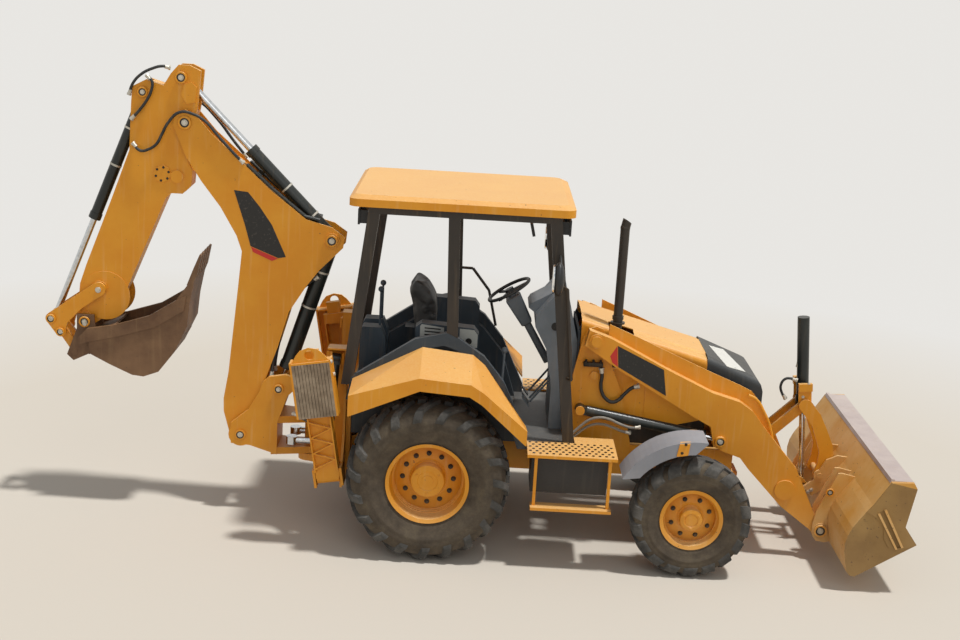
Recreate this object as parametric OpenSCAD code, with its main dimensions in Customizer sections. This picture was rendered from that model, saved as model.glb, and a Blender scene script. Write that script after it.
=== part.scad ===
// Backhoe loader with an open canopy, a single-lever front loader and a folded rear digger.
// Side outlines are points [x, z] with x forward of the rear axle and z above the ground.

/* [Chassis] */
// Distance between the axles
wheelbase = 2100; // [1950:10:2250]
// Half the distance across the outside of the frame rails
rail_out = 400; // [380:5:405]
// Thickness of each frame rail
rail_t = 60; // [30:5:100]
// Underside of the frame rails
rail_low = 600; // [580:5:620]
// Top of the frame rails
rail_top = 860; // [820:5:900]
// Radius of the towing pin's hole
tow_bore_r = 16; // [10:1:20]

/* [Wheels] */
// Radius of the rear tyres
rear_r = 657; // [630:1:670]
// Width of the rear tyres
rear_w = 495; // [420:5:500]
// Distance from the middle to the centre of a rear tyre
rear_y = 857; // [840:1:870]
// Radius of the rear rims' lips
rear_rim_r = 331; // [300:1:350]
// Radius of the front tyres
front_r = 487.5; // [470:0.5:500]
// Width of the front tyres
front_w = 310; // [280:5:320]
// Distance from the middle to the centre of a front tyre
front_y = 950; // [940:1:960]
// Radius of the front rims' lips
front_rim_r = 251; // [235:1:260]
// Height of the rear tread bars
rear_lug_h = 34; // [20:1:45]
// Height of the front tread bars
front_lug_h = 22; // [15:1:30]
// Tread bars on each side of a tyre
lug_count = 18; // [14:1:22]
// Distance from the middle to the steering pivots
kingpin_y = 780; // [770:1:790]

/* [Cab] */
// Half the width of the canopy across its posts
post_y = 720; // [700:5:740]
// Thickness of the posts across the machine
post_t = 60; // [40:5:80]
// Half the width of the roof
roof_y = 780; // [760:5:800]
// Thickness of the roof
roof_t = 90; // [60:5:110]
// Radius of the steering wheel
wheel_r = 200; // [170:5:220]
// Half the width of the hood
hood_y = 360; // [330:5:380]
// Thickness of sheet metal
sheet_t = 8; // [5:1:12]

// Radius of the hood's shoulders
bonnet_r = 55; // [30:5:80]
// Height of the raised panel along the hood
crease_h = 14; // [8:1:20]
// Depth of the seams in the hood's sides
seam_d = 3; // [1:0.5:5]

/* [Loader] */
// Inner face of the lift arms
arm_in = 430; // [420:1:440]
// Outer face of the lift arms
arm_out = 530; // [520:1:540]
// Thickness of plates that hold pins
plate_t = 20; // [12:1:25]
// Half the width of the front bucket
bucket_y = 1170; // [1100:10:1200]
// Radius of the lift cylinders
lift_r = 48; // [40:1:52]
// Radius of the tilt cylinder
tilt_r = 50; // [40:1:54]
// Length of the tilt cylinder above its trunnion
tilt_up = 740; // [650:10:780]

/* [Digger] */
// Half the width of the boom
boom_y = 120; // [110:1:125]
// Half the width of the stick
stick_y = 90; // [80:1:100]
// Half the width of the digging bucket
dig_y = 235; // [210:5:240]
// Width of each tooth of the digging bucket
tooth_w = 62; // [50:2:74]
// Radius of the boom cylinder
boom_ram_r = 64; // [55:1:66]
// Radius of the stick cylinder
stick_ram_r = 54; // [45:1:58]
// Radius of the bucket cylinder
dig_ram_r = 46; // [40:1:50]
// Place of the upright pin that the digger swings on
swing_x = -1050; // [-1060:1:-1040]
// Distance of each swing rod from the middle
swing_rod_y = 130; // [125:1:140]

// Radius of the hydraulic hoses
hose_r = 11; // [8:0.5:13]

/* [Stabilisers] */
// Distance from the middle to the pivot of a leg
leg_y = 825; // [815:1:830]
// Thickness of a leg across the machine
leg_t = 110; // [90:5:120]
// Height of the ribs on the outer face of a leg
rib_h = 30; // [15:5:40]
// Lean of a raised leg to the rear, in degrees
leg_lean = 9.5; // [5:0.5:12]
// Angle that a leg turns through to stand on the ground
leg_travel = 115; // [100:1:120]
// Length of a leg from its pivot to its pad
leg_len = 1010; // [950:10:1030]

// Strips in each pad
strip_count = 12; // [8:1:16]

/* [Fits] */
// Side clearance between a moving lug and its plates
side_gap = 8; // [6:1:12]
// Clearance of a rod in its cylinder, on the radius
ram_fit = 0.5; // [0.1:0.1:1]
// Clearance of a pin in its hole, on the radius
pin_fit = 0.1; // [0.05:0.05:0.3]

/* [Hidden] */
$fn = 48;

// Finishes
paint = "#E8A01C";
dark = "#26221E";
ram_black = "#1B2420";
bright = "#C8CCD0";
rubber = "#57504A";
grey = "#8E9098";
interior = "#34424E";
worn_steel = "#8A6A48";

// Pin places in the side view
lift_pivot = [1290, 1764];
lift_base = [1200, 1170];
lift_pin = [2360, 980];
hinge_pin = [3255, 263];
lever_pin = [2700, 780];
cross_tube = [2930, 590];
apex = [3120, 1200];
tilt_eye = [3190, 470];
link_pin = [3300, 600];
boom_foot = [-1620, 680];
boom_ear = [-905, 2377];
casting_pin = [-1305, 1100];
stick_pivot = [-2120, 3276];
stick_top = [-2156, 3632];
dig_base = [-2465, 3500];
idler_pin = [-2819, 1860];
dig_hinge = [-2935, 1580];
dig_ear = [-3020, 1310];
idler_end = [-3214, 1589];
idler_knee = [-3137, 1481];
front_axle_z = front_r;
axle_tube_r = 115;
hub_bore_r = 34;
idler_pin_r = 30;
stab_pin_r = 18;
column_axis = [-sin(31), 0, cos(31)];
wheel_hub = [574, 0, 2025];
leg_pivot_x = -800;
leg_pivot_z = 600;
stab_base = [-798, 605, 1520];

// Place of the rod eye on a raised leg: distance from the middle, height up the leg
stab_eye = [790, 215];

idler_r = 48;
hood_hinge = [1210, 1830];

function unit(v) = v / norm(v);
function angle_of(a, b) = atan2(b[1] - a[1], b[0] - a[0]);
function along(p, i) = unit(p[min(i + 1, len(p) - 1)] - p[max(i - 1, 0)]);
function beside(p, t) = [for (i = [0:len(p) - 1]) p[i] + t * [-along(p, i)[1], along(p, i)[0]]];
function arc(c, r, a0, a1, n) = [for (i = [0:n]) c + r * [cos(a0 + (a1 - a0) * i / n), sin(a0 + (a1 - a0) * i / n)]];

// A flat strip of thickness t on the left of a chain of points
module strip(p, t) {
  q = beside(p, t);
  polygon(concat(p, [for (i = [len(p) - 1:-1:0]) q[i]]));
}

// An upright side-view profile between two distances from the middle
module slab(y0, y1) {
  translate([0, y1, 0])
    rotate([90, 0, 0])
      linear_extrude(height = y1 - y0) children();
}

module both_sides() {
  children();
  mirror([0, 1, 0]) children();
}

// Right side is -1, left side is 1
module on_side(s) {
  scale([1, s, 1]) children();
}

module pin(p, y0, y1, r) {
  translate([p[0], y1, p[1]])
    rotate([90, 0, 0])
      cylinder(h = y1 - y0, r = r);
}

module bar(a, b, r) {
  v = b - a;
  translate(a)
    rotate([0, acos(v[2] / norm(v)), atan2(v[1], v[0])])
      cylinder(h = norm(v), r = r, $fn = 24);
}

// Turns +X to the direction from a to b in the side view, starting at a
module from_to(a, b) {
  translate([a[0], 0, a[1]])
    rotate([0, -angle_of(a, b), 0]) children();
}

module x_rod(x0, x1, r) {
  translate([x0, 0, 0])
    rotate([0, 90, 0])
      cylinder(h = x1 - x0, r = r, $fn = 32);
}

// Cylinder barrel with an eye at its base, a blind bore and a gland collar
module barrel(length, r, rod_r, eye_r, eye_y) {
  difference() {
    union() {
      x_rod(eye_r + 12, length, r);
      x_rod(length - 50, length, r * 1.12);
      pin([0, 0], -eye_y, eye_y, eye_r);
      slab(-eye_y, eye_y) translate([0, -eye_r * 0.8]) square([eye_r + 24, eye_r * 1.6]);
    }
    x_rod(eye_r + 30, length + 1, rod_r + ram_fit);
  }
}

// Rod with an eye at its far end
module ram_rod(tip, length, rod_r, eye_r, eye_y) {
  x_rod(tip - length, tip, rod_r);
  translate([tip, 0, 0]) pin([0, 0], -eye_y, eye_y, eye_r);
}

// Chassis

module rail_outline() {
  polygon([[-660, rail_low], [2500, rail_low], [2500, rail_top], [1500, rail_top], [1400, rail_top + 30],
           [-500, rail_top + 30], [-660, rail_top - 60]]);
}

module main_frame() {
  color(paint) difference() {
    union() {
      both_sides() slab(rail_out - rail_t, rail_out) rail_outline();
      for (c = [[300, 80], [1000, 80], [1480, 80], [1990, 220], [2300, 80]])
        translate([c[0], -rail_out + 10, rail_low]) cube([c[1], 2 * rail_out - 20, 60]);
      translate([2440, -rail_out + 10, 420]) cube([60, 2 * rail_out - 20, 440]);
      translate([2490, -110, 430]) cube([120, 220, 34]);
      translate([2490, -110, 540]) cube([120, 220, 34]);
    }
    translate([2570, 0, 400]) cylinder(h = 200, r = tow_bore_r);
    pin([0, rear_r], -rail_out - 10, rail_out + 10, axle_tube_r + 0.3);
  }
  color(paint) loader_towers();
}

module engine_block() {
  color(ram_black)
    translate([1400, -330, rail_low + 60]) cube([850, 660, 620]);
}

module axles() {
  color(paint) {
    pin([0, rear_r], -570, 570, axle_tube_r);
    both_sides() {
      pin([0, rear_r], 560, rear_y - 130, 150);
      pin([0, rear_r], rear_y - 140, rear_y + 18, 110);
      pin([0, rear_r], rear_y, rear_y + 123, hub_bore_r - pin_fit);
      slab(260, rail_out - rail_t)
        polygon([[-150, rear_r], [150, rear_r], [170, rail_low + 250], [-170, rail_low + 250]]);
    }
    translate([-190, -190, rear_r - 190]) cube([380, 380, 330]);
    front_beam();
  }
}

module front_beam() {
  translate([wheelbase, 0, front_axle_z]) {
    difference() {
      union() {
        translate([-60, -(kingpin_y - 70), -60]) cube([120, 2 * (kingpin_y - 70), 120]);
        both_sides() translate([0, kingpin_y, -60]) cylinder(h = 120, r = 62);
        both_sides() translate([-45, kingpin_y - 90, -60]) cube([90, 90, 120]);
        translate([-110, -130, -60]) cube([220, 260, rail_low - front_axle_z + 60]);
      }
      both_sides() translate([0, kingpin_y, -100]) cylinder(h = 200, r = 26 + pin_fit);
    }
  }
}

tower_outline = [[1075, 740], [1640, 740], [1640, 880], [1590, 1100], [1540, 1300], [1430, 1560], [1385, 1764],
                 [1350, 1836], [1295, 1856], [1235, 1836], [1190, 1764], [1100, 1300]];

// Upright plates inside the lift arms, with the pins of the arms and their cylinders
module loader_towers() {
  both_sides() {
    slab(arm_in - side_gap - plate_t, arm_in - side_gap) polygon(tower_outline);
    pin(lift_pivot, arm_in - side_gap - plate_t - 12, arm_out + side_gap + 20, 32);
    pin(lift_pivot, arm_out + side_gap, arm_out + side_gap + 14, 60);
    pin(lift_pivot, arm_out + side_gap + 13, arm_out + side_gap + 30, 44);
    pin(lift_base, arm_in - side_gap - plate_t - 12, arm_out, 26);
    pin(lift_base, arm_out - 8, arm_out + 2, 38);
    pin(lift_base, arm_in - side_gap - 1, arm_in + 6, 46);
    pin([1300, 1450], arm_in - side_gap - 1, arm_in + 10, 34);
  }
}

// Frame behind the cab: two upright housings for the stabilisers, a cross plate and the swing lugs
module backhoe_frame() {
  color(paint) difference() {
    union() {
      translate([-700, -560, rail_low - 120]) cube([40, 1120, 700]);
      both_sides() {
        translate([-716, 0, 0]) rotate([90, 0, 90]) linear_extrude(height = 20) housing_front();
        translate([-856, 530, 480]) cube([145, 16, 1120]);
        translate([-856, 530, 1600]) cube([156, 130, 14]);
        stab_frame() {
          for (y = [-58, 42])
            translate([-50, y, -48]) cube([95, 16, 123]);
          pin([0, 0], -64, 64, stab_pin_r);
        }
        lean_at_pivot() {
          for (x = [-118, 98])
            translate([x, 690, -75]) cube([20, 195, 150]);
          translate([-118, 690, -75]) cube([236, 60, 14]);
          translate([-118, 690, -75]) cube([236, 14, 150]);
          translate([-118, leg_y, 0]) rotate([0, 90, 0]) cylinder(h = 236, r = 30);
        }
      }
      for (z = [450, 860])
        linear_extrude_at(z, 60) swing_lug_outline();
    }
    translate([swing_x, 0, 400]) cylinder(h = 600, r = 45 + pin_fit);
    both_sides() translate([-760, swing_rod_y, 645]) x_rod(0, 160, 56.5);
  }
}

// Front wall of a stabiliser housing: distance from the middle, height
module housing_front() {
  polygon([[535, 480], [762, 480], [762, 700], [655, 900], [655, 1605], [535, 1605]]);
}

module linear_extrude_at(z, h) {
  translate([0, 0, z]) linear_extrude(height = h) children();
}

module swing_lug_outline() {
  translate([swing_x, 0]) circle(r = 95);
  polygon([[swing_x, -95], [swing_x, 95], [-690, 260], [-690, -260]]);
}

// Cab

module panel(quad, t) {
  hull()
    for (p = quad) translate(p) cube(t, center = true);
}

// Rear mudguard ridge: x, height at the inner edge, height at the outer edge, height of the lip
mudguard = [[-640, 1390, 1360, 1200], [-95, 1680, 1530, 1435], [300, 1640, 1500, 1410], [400, 1560, 1440, 1350],
            [755, 1070, 1150, 1040]];

module rear_fenders() {
  color(paint) both_sides()
    for (i = [0:len(mudguard) - 2]) {
      a = mudguard[i];
      b = mudguard[i + 1];
      panel([[a[0], post_y + sheet_t / 2, a[1]], [b[0], post_y + sheet_t / 2, b[1]], [a[0], 1095, a[2]], [b[0], 1095, b[2]]], sheet_t);
      panel([[a[0], 1095, a[2]], [b[0], 1095, b[2]], [a[0], 1095, a[3]], [b[0], 1095, b[3]]], sheet_t);
    }
}

sill = [[-695, 1215], [-657, 1406], [-161, 1745], [86, 1809], [190, 1766], [393, 1632], [562, 1429], [763, 1010],
        [763, 940], [1160, 940], [1160, 880], [700, 880], [540, 1330], [370, 1535], [180, 1670], [70, 1705],
        [-110, 1660], [-600, 1330], [-640, 1215]];

module cab_body() {
  color(interior) {
    both_sides() {
      slab(post_y - post_t, post_y) polygon(sill);
      slab(560, 572)
        polygon([[-655, 890], [700, 890], [560, 1330], [380, 1540], [180, 1675], [70, 1705], [-110, 1660], [-655, 1310]]);
      slab(571, post_y - post_t + 1)
        strip([[-655, 1310], [-110, 1660], [70, 1705], [180, 1675], [380, 1540], [560, 1330], [700, 900]], -12);
      translate([-300, 402, 1219]) cube([520, 160, 330]);
      difference() {
        slab(420, 545) polygon([[-170, 1540], [340, 1540], [340, 1760], [300, 1812], [-120, 1835], [-170, 1800]]);
        for (i = [0:2])
          translate([-120, 540, 1660 + 42 * i]) cube([150, 20, 18]);
        pin([260, 1700], 540, 560, 26);
      }
      slab(70, 210) polygon([[-640, 1219], [-400, 1219], [-430, 1600], [-470, 1690], [-620, 1690], [-640, 1650]]);
      translate([-484, 119, 1680]) cylinder(h = 310, r = 9);
      translate([-484, 119, 1995]) sphere(r = 25);
    }
    translate([690, -post_y + post_t - 1, 890]) cube([380, 2 * (post_y - post_t) + 2, 50]);
    translate([-655, -565, 1180]) cube([965, 1130, 40]);
    translate([300, -565, 890]) cube([12, 1130, 330]);
    translate([300, -565, 890]) cube([400, 1130, 40]);
    translate([-655, -565, 890]) cube([12, 1130, 400]);
    translate([1150, -350, 890]) cube([18, 700, 900]);
    both_sides() slab(295, 313) union() {
      translate(hood_hinge) circle(r = 36);
      polygon([[1150, 1650], [1168, 1650], [1246, 1822], [1180, 1850], [1150, 1780]]);
    }
    both_sides() pin(hood_hinge, 264, 318, 14);
  }
}

module post(a, b, y0, w) {
  slab(y0, y0 + post_t) polygon([[a[0] - w / 2, a[1]], [a[0] + w / 2, a[1]], [b[0] + w / 2, b[1]], [b[0] - w / 2, b[1]]]);
}

module canopy_frame() {
  color(dark) {
    difference() {
      both_sides() {
        post([888, 2790], [1110, 940], post_y - post_t, 92);
        post([98, 2790], [135, 1700], post_y - post_t, 90);
        post([-520, 2790], [-690, 1340], post_y - post_t, 92);
        translate([-566, post_y - post_t, 2730]) cube([1500, post_t, 60]);
      }
      both_sides() slab(post_y - post_t - 1, post_y + 1) polygon(sill);
      both_sides() slab(post_y - post_t - 1, post_y + 1) polygon([[80, 1600], [200, 1600], [200, 1766], [86, 1809]]);
    }
    both_sides() {
      bar([960, post_y - 30, 2240], [1010, post_y + 60, 2230], 12);
      bar([1010, post_y + 60, 2230], [1090, post_y + 60, 1500], 14);
      bar([1090, post_y + 60, 1500], [1050, post_y - 30, 1490], 12);
    }
    for (x = [-566, 842])
      translate([x, -post_y + 10, 2730]) cube([92, 2 * post_y - 20, 60]);
    bar([120, 690, 2043], [262, 690, 2041], 12);
    bar([262, 690, 2041], [414, 690, 1851], 12.5);
    bar([414, 690, 1851], [491, 690, 1533], 12);
  }
}

module canopy_roof() {
  color(paint) difference() {
    hull() {
      for (x = [-640, 960], y = [-roof_y + 80, roof_y - 80])
        translate([x, y, 2790]) cylinder(h = roof_t - 30, r = 80, $fn = 32);
      for (x = [-600, 900], y = [-roof_y + 130, roof_y - 130])
        translate([x, y, 2790]) cylinder(h = roof_t, r = 80, $fn = 32);
    }
  }
}

dash_outline = [[960, 940], [1150, 940], [1150, 1700], [1060, 2060], [950, 2080], [800, 1890], [800, 1800],
                [900, 1620], [960, 1300]];

module dash_console() {
  color(grey) {
    slab(-330, 330) polygon(dash_outline);
    bar(wheel_hub - 700 * column_axis, wheel_hub - 47 * column_axis, 32);
    bar(wheel_hub - 50 * column_axis, wheel_hub, 12);
    slab(-180, 180) polygon([[800, 1880], [740, 1925], [760, 1960], [960, 2080], [960, 1990]]);
    for (y = [-190, -90, 130]) {
      bar([960, y, 1330], [800, y, 1120], 9);
      translate([790, y - 32, 1080]) rotate([0, -38, 0]) cube([10, 64, 95]);
    }
    translate([540, -430, 930]) cylinder(h = 26, r = 20);
    bar([540, -430, 940], [560, -400, 1600], 10);
    translate([560, -400, 1610]) sphere(r = 26);
  }
}

module side_steps() {
  color(paint) both_sides() {
    translate([775, post_y, 930]) cube([710, 340, 24]);
    translate([1162, 560, 930]) cube([323, 170, 24]);
    translate([820, 950, 500]) cube([640, 130, 24]);
    for (x = [835, 1420])
      translate([x, 1000, 500]) cube([24, 30, 440]);
    translate([815, arm_out + side_gap + plate_t, 610]) cube([608, 392, 270]);
    translate([815, post_y, 870]) cube([608, 230, 65]);
  }
}

module swing_barrels() {
  color(ram_black) both_sides()
    difference() {
      translate([0, swing_rod_y, 645]) union() {
        x_rod(-720, -700, 75);
        x_rod(-710, -220, 56);
      }
      translate([0, swing_rod_y, 645]) x_rod(-730, -240, 30 + ram_fit);
    }
}

module exhaust_stack() {
  color(dark) difference() {
    union() {
      bar([1470, -285, 1280], [1470, -285, 2655], 38);
      translate([1470, -285, 1862]) cylinder(h = 12, r = 60);
      translate([1470, -285, 1895]) cylinder(h = 30, r = 46);
      translate([1470, -285, 2655]) sphere(r = 40);
      bar([1470, -285, 2655], [1510, -285, 2850], 38);
    }
    bar([1470, -285, 2655], [1512, -285, 2860], 32);
    translate([1350, -385, 2790]) rotate([0, 30, 0]) cube([300, 200, 200]);
  }
}

// A lamp that faces forward, its bracket on top
module lamp() {
  difference() {
    union() {
      translate([-70, -75, -55]) cube([62, 150, 104]);
      translate([-10, -85, -64]) cube([16, 170, 122]);
    }
    translate([-4, -74, -53]) cube([20, 148, 100]);
  }
  translate([-50, -18, 45]) cube([36, 36, 55]);
}

module work_lamps() {
  color(dark) {
    both_sides() {
      translate([1010, 560, 2690]) lamp();
      translate([-650, 560, 2690]) rotate([0, 0, 180]) lamp();
      translate([930, 880, 2330]) scale([0.5, 0.9, 1.5]) sphere(r = 90, $fn = 32);
      bar([940, post_y + 2.8, 2480], [940, 880, 2440], 10);
    }
    translate([735, 0, 2560]) rotate([0, -14, 0]) cube([24, 210, 110], center = true);
    bar([740, 0, 2600], [790, 0, 2787], 9);
  }
}

hood_side = [[1175, 950], [1175, 1930], [2225, 1652], [2225, 1100], [2000, 1040]];
hood_slope = 14.8;
nose_slope = 21;

// Half-rounded bonnet section below its own top: distance from the middle, height
module bonnet_section(t) {
  arch = arc([hood_y - bonnet_r, -bonnet_r], bonnet_r - t, 0, 90, 8);
  polygon(concat([[hood_y - t, -1500]], arch, [[236, -t], [214, crease_h - t], [-214, crease_h - t], [-236, -t]],
                 [for (i = [len(arch) - 1:-1:0]) [-arch[i][0], arch[i][1]]], [[-hood_y + t, -1500]]));
}

// The section carried forward and down a slope from a point in the side view
module down_slope(start, slope, length) {
  translate([start[0], 0, start[1]])
    rotate([0, slope, 0])
      rotate([90, 0, 90])
        translate([0, 0, -400]) linear_extrude(height = length + 400) children();
}

module hood() {
  color(paint) difference() {
    union() {
      difference() {
        intersection() {
          slab(-hood_y, hood_y) polygon(hood_side);
          down_slope([1175, 1900], hood_slope, 1500) bonnet_section(0);
        }
        intersection() {
          slab(-hood_y, hood_y) polygon([[1100, 900], [1100, 2000], [2300, 1900], [2300, 1000], [2000, 900]]);
          down_slope([1175, 1900], hood_slope, 1500) bonnet_section(sheet_t);
        }
      }
      both_sides() slab(270, 287) union() {
        translate(hood_hinge) circle(r = 34);
        polygon([[1180, 1840], [1185, 1893], [1300, 1863], [1240, 1815]]);
      }
    }
    both_sides() pin(hood_hinge, 260, 295, 14 + pin_fit);
    translate([1400, -hood_y - 10, 1500]) cube([210, 165, 500]);
    both_sides() translate([1730, hood_y - seam_d, 900]) cube([6, 20, 830]);
    both_sides()
      for (i = [0:5])
        translate([1960, hood_y - seam_d, 1230 + 42 * i]) cube([190, 20, 12]);
  }
}

nose_side = [[2225, 1100], [2225, 1640], [2600, 1496], [2648, 1468], [2682, 1425], [2700, 1370], [2700, 1150]];

module hood_nose() {
  color(dark) difference() {
    intersection() {
      slab(-hood_y, hood_y) polygon(nose_side);
      down_slope([2225, 1640], nose_slope, 900) bonnet_section(0);
    }
    intersection() {
      slab(-hood_y + sheet_t, hood_y - sheet_t)
        polygon([[2200, 1050], [2200, 1640], [2592, 1486], [2640, 1460], [2674, 1420], [2691, 1368], [2691, 1050]]);
      down_slope([2225, 1640], nose_slope, 900) bonnet_section(sheet_t);
    }
    for (i = [0:6], y = [-260, 15])
      translate([2680, y, 1172 + 28 * i]) cube([40, 245, 14]);
    both_sides()
      for (i = [0:4])
        translate([2300, hood_y - 20, 1200 + 34 * i]) cube([260, 40, 14]);
  }
}

module operator_seat() {
  color(dark) {
    translate([0, 0, 1220]) cylinder(h = 190, r = 110);
    translate([-170, -240, 1400]) cube([480, 480, 130]);
    slab(-200, 200) polygon([[-170, 1520], [-60, 1520], [-110, 2100], [-150, 2150], [-240, 2140]]);
  }
}

module steering_wheel() {
  color(dark)
    translate(wheel_hub)
      rotate([0, -31, 0]) {
        rotate_extrude() translate([wheel_r - 14, 0]) circle(r = 14, $fn = 20);
        difference() {
          translate([0, 0, -40]) cylinder(h = 50, r = 40);
          translate([0, 0, -41]) cylinder(h = 42, r = 12 + pin_fit);
        }
        for (a = [0, 120, 240])
          rotate([0, 0, a]) translate([30, -14, -20]) cube([wheel_r - 44, 28, 14]);
      }
}

// Loader

arm_outer = [[1200, 1720], [1230, 1850], [1412, 1789], [1655, 1670], [1863, 1566], [2264, 1383], [2495, 1319],
             [2603, 1248], [2703, 1122], [3015, 769], [3195, 400], [3262, 315], [3305, 275], [3290, 225],
             [3250, 212], [3213, 225], [2910, 447], [2613, 753], [2538, 844], [2402, 888], [2310, 930], [2274, 1096], [2136, 1167],
             [1886, 1309], [1494, 1532], [1293, 1661]];
arm_core = [[1200, 1720], [1230, 1850], [1412, 1789], [1655, 1670], [1863, 1566], [2264, 1383], [2495, 1319],
            [2603, 1248], [2703, 1122], [3015, 769], [3195, 400], [3262, 315], [3305, 275], [3290, 225],
            [3250, 212], [3213, 225], [2910, 447], [2613, 753], [2570, 1090], [2280, 1200], [2136, 1200], [1886, 1309], [1494, 1532], [1293, 1661]];
arm_inner = [[1394, 1700], [1394, 1888], [1611, 1801], [2204, 1553], [2488, 1441], [2593, 1394], [2692, 1283],
             [2790, 1005], [2800, 700], [2613, 753], [2538, 844], [2310, 930], [2274, 1096], [1886, 1309]];

module loader_arms() {
  color(paint) difference() {
    union() {
      both_sides() {
        slab(arm_out - 12, arm_out) polygon(arm_outer);
        slab(arm_in + 12, arm_out - 12) polygon(arm_core);
        slab(arm_in, arm_in + 13) polygon(arm_inner);
      }
      pin(cross_tube, -arm_out - 14, arm_out + 14, 85);
      pin(lever_pin, -arm_out + 5, arm_out - 5, 60);
      both_sides() slab(36, 58) polygon([[2930, 660], [2930, 520], [3190, 415], [3245, 470], [3190, 530]]);
      both_sides() pin(lift_pin, arm_in, arm_out + 22, 42);
    }
    both_sides() pin(lift_pin, arm_in + 13, arm_out - 12, 60);
    both_sides() pin(lift_pivot, arm_in - 5, arm_out + 5, 32 + pin_fit);
    both_sides() pin(hinge_pin, arm_in - 5, arm_out + 5, 34 + pin_fit);
    pin(tilt_eye, -80, 80, 24);
  }
}

module lift_barrels() {
  color(ram_black) both_sides() difference() {
    translate([0, 480, 0]) from_to(lift_base, lift_pin) barrel(1050, lift_r - 4, 25, 40, 36);
    pin(lift_base, arm_in, arm_out, 26 + pin_fit);
  }
}

module lift_rods() {
  color(bright) both_sides()
    translate([0, 480, 0]) from_to(lift_base, lift_pin)
      ram_rod(norm(lift_pin - lift_base), 950, 25, 40, 30);
}

module link_plate(a, b, y0, y1, r) {
  slab(y0, y1) union() {
    translate(a) circle(r = r);
    translate(b) circle(r = r);
    translate(a) rotate(angle_of(a, b)) translate([0, -r * 0.8]) square([norm(b - a), r * 1.6]);
  }
}

module tilt_levers() {
  color(paint) both_sides() difference() {
    link_plate(lever_pin, apex, 66, 96, 52);
    pin(lever_pin, 60, 100, 60.3);
    pin(apex, 60, 100, 22 + pin_fit);
  }
}

module tilt_barrel() {
  color(ram_black) from_to(apex, tilt_eye) difference() {
    union() {
      x_rod(-tilt_up, 95, tilt_r);
      pin([0, 0], -98, 98, 22);
      x_rod(-60, 50, 60);
      pin([0, 0], -105, 105, 22);
      both_sides() slab(99, 105) polygon([[-190, -55], [-190, 55], [10, 55], [48, 26], [48, -26], [10, -55]]);
      both_sides() slab(99, 138) polygon([[-192, -57], [-192, 57], [-126, 57], [-126, -57]]);
      both_sides() slab(tilt_r - 10, 105) polygon([[-180, -40], [-180, 40], [-130, 40], [-130, -40]]);
    }
    x_rod(-tilt_up + 40, 96, 26 + ram_fit);
  }
}

module tilt_rod() {
  color(bright) from_to(apex, tilt_eye)
    ram_rod(norm(tilt_eye - apex), 850, 26, 46, 28);
}

module tilt_links() {
  color(paint) both_sides() difference() {
    slab(108, 136) union() {
      translate(apex) circle(r = 55);
      translate(link_pin) circle(r = 50);
      polygon([apex + [-30, -46], apex + [45, 32], [3255, 1133], [3325, 1000], [3385, 870], [3405, 780], [3390, 690],
               link_pin + [46, -18], link_pin + [-46, 18], [3275, 700], [3280, 800], [3245, 900], [3195, 1027]]);
    }
    pin(link_pin, 100, 140, 24 + pin_fit);
  }
}

// Outside of the front bucket from its edge round to the top
bucket_back = [[3866, 426], [3409, 133], [3370, 139], [3344, 168], [3322, 262], [3307, 344], [3305, 403], [3319, 475],
               [3349, 542], [3396, 615], [3442, 683], [3485, 738], [3608, 937]];

bucket_lug = [[3195, 215], [3187, 313], [3207, 426], [3353, 767], [3387, 769], [3500, 745], [3488, 736], [3447, 683],
              [3401, 615], [3354, 542], [3325, 475], [3311, 403], [3313, 344], [3327, 262], [3347, 172], [3300, 160],
              [3230, 170]];

bucket_cheek = [[3444, 681], [3486, 736], [3606, 933], [3781, 940], [3811, 892], [3758, 574], [3858, 427], [3712, 375],
                [3640, 400], [3600, 470], [3590, 560], [3520, 640]];

module loader_bucket() {
  color("#D9A441") {
    slab(-bucket_y + 18, bucket_y - 18) {
      strip(bucket_back, -14);
      polygon([[3598, 925], [3608, 955], [3632, 955], [3638, 943], [3782, 942], [3812, 892], [3786, 880], [3766, 920],
               [3640, 920], [3606, 905]]);
      polygon([[3640, 281], [3862, 424], [3850, 442], [3628, 300]]);
    }
    both_sides() {
      slab(bucket_y - 18, bucket_y)
        polygon(concat(bucket_back, [[3782, 942], [3813, 892], [3759, 573]]));
      difference() {
        slab(bucket_y - 1, bucket_y + 10) polygon(bucket_cheek);
        slab(bucket_y, bucket_y + 11) polygon([[3541, 684], [3572, 708], [3741, 404], [3712, 394]]);
      }
      slab(bucket_y + 9, bucket_y + 26) {
        polygon([[3525, 676], [3541, 684], [3712, 394], [3697, 388]]);
        polygon([[3572, 708], [3588, 718], [3757, 412], [3741, 404]]);
      }
      for (y = [arm_in - side_gap - plate_t, arm_out + side_gap])
        slab(y, y + plate_t) polygon(bucket_lug);
      pin(hinge_pin, arm_in - side_gap - plate_t - 10, arm_out + side_gap + plate_t + 14, 34);
      pin(hinge_pin, arm_out + side_gap + plate_t - 1, arm_out + side_gap + plate_t + 9, 62);
      slab(144, 166) union() {
        translate(link_pin) circle(r = 50);
        polygon([[3166, 492], [3254, 561], [3290, 645], [3341, 743], [3431, 786], [3512, 780], [3490, 738], [3447, 683],
                 [3401, 615], [3354, 542], [3320, 470], [3250, 420]]);
      }
    }
    pin(link_pin, -172, 172, 24);
  }
}

// Front axle ends

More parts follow.
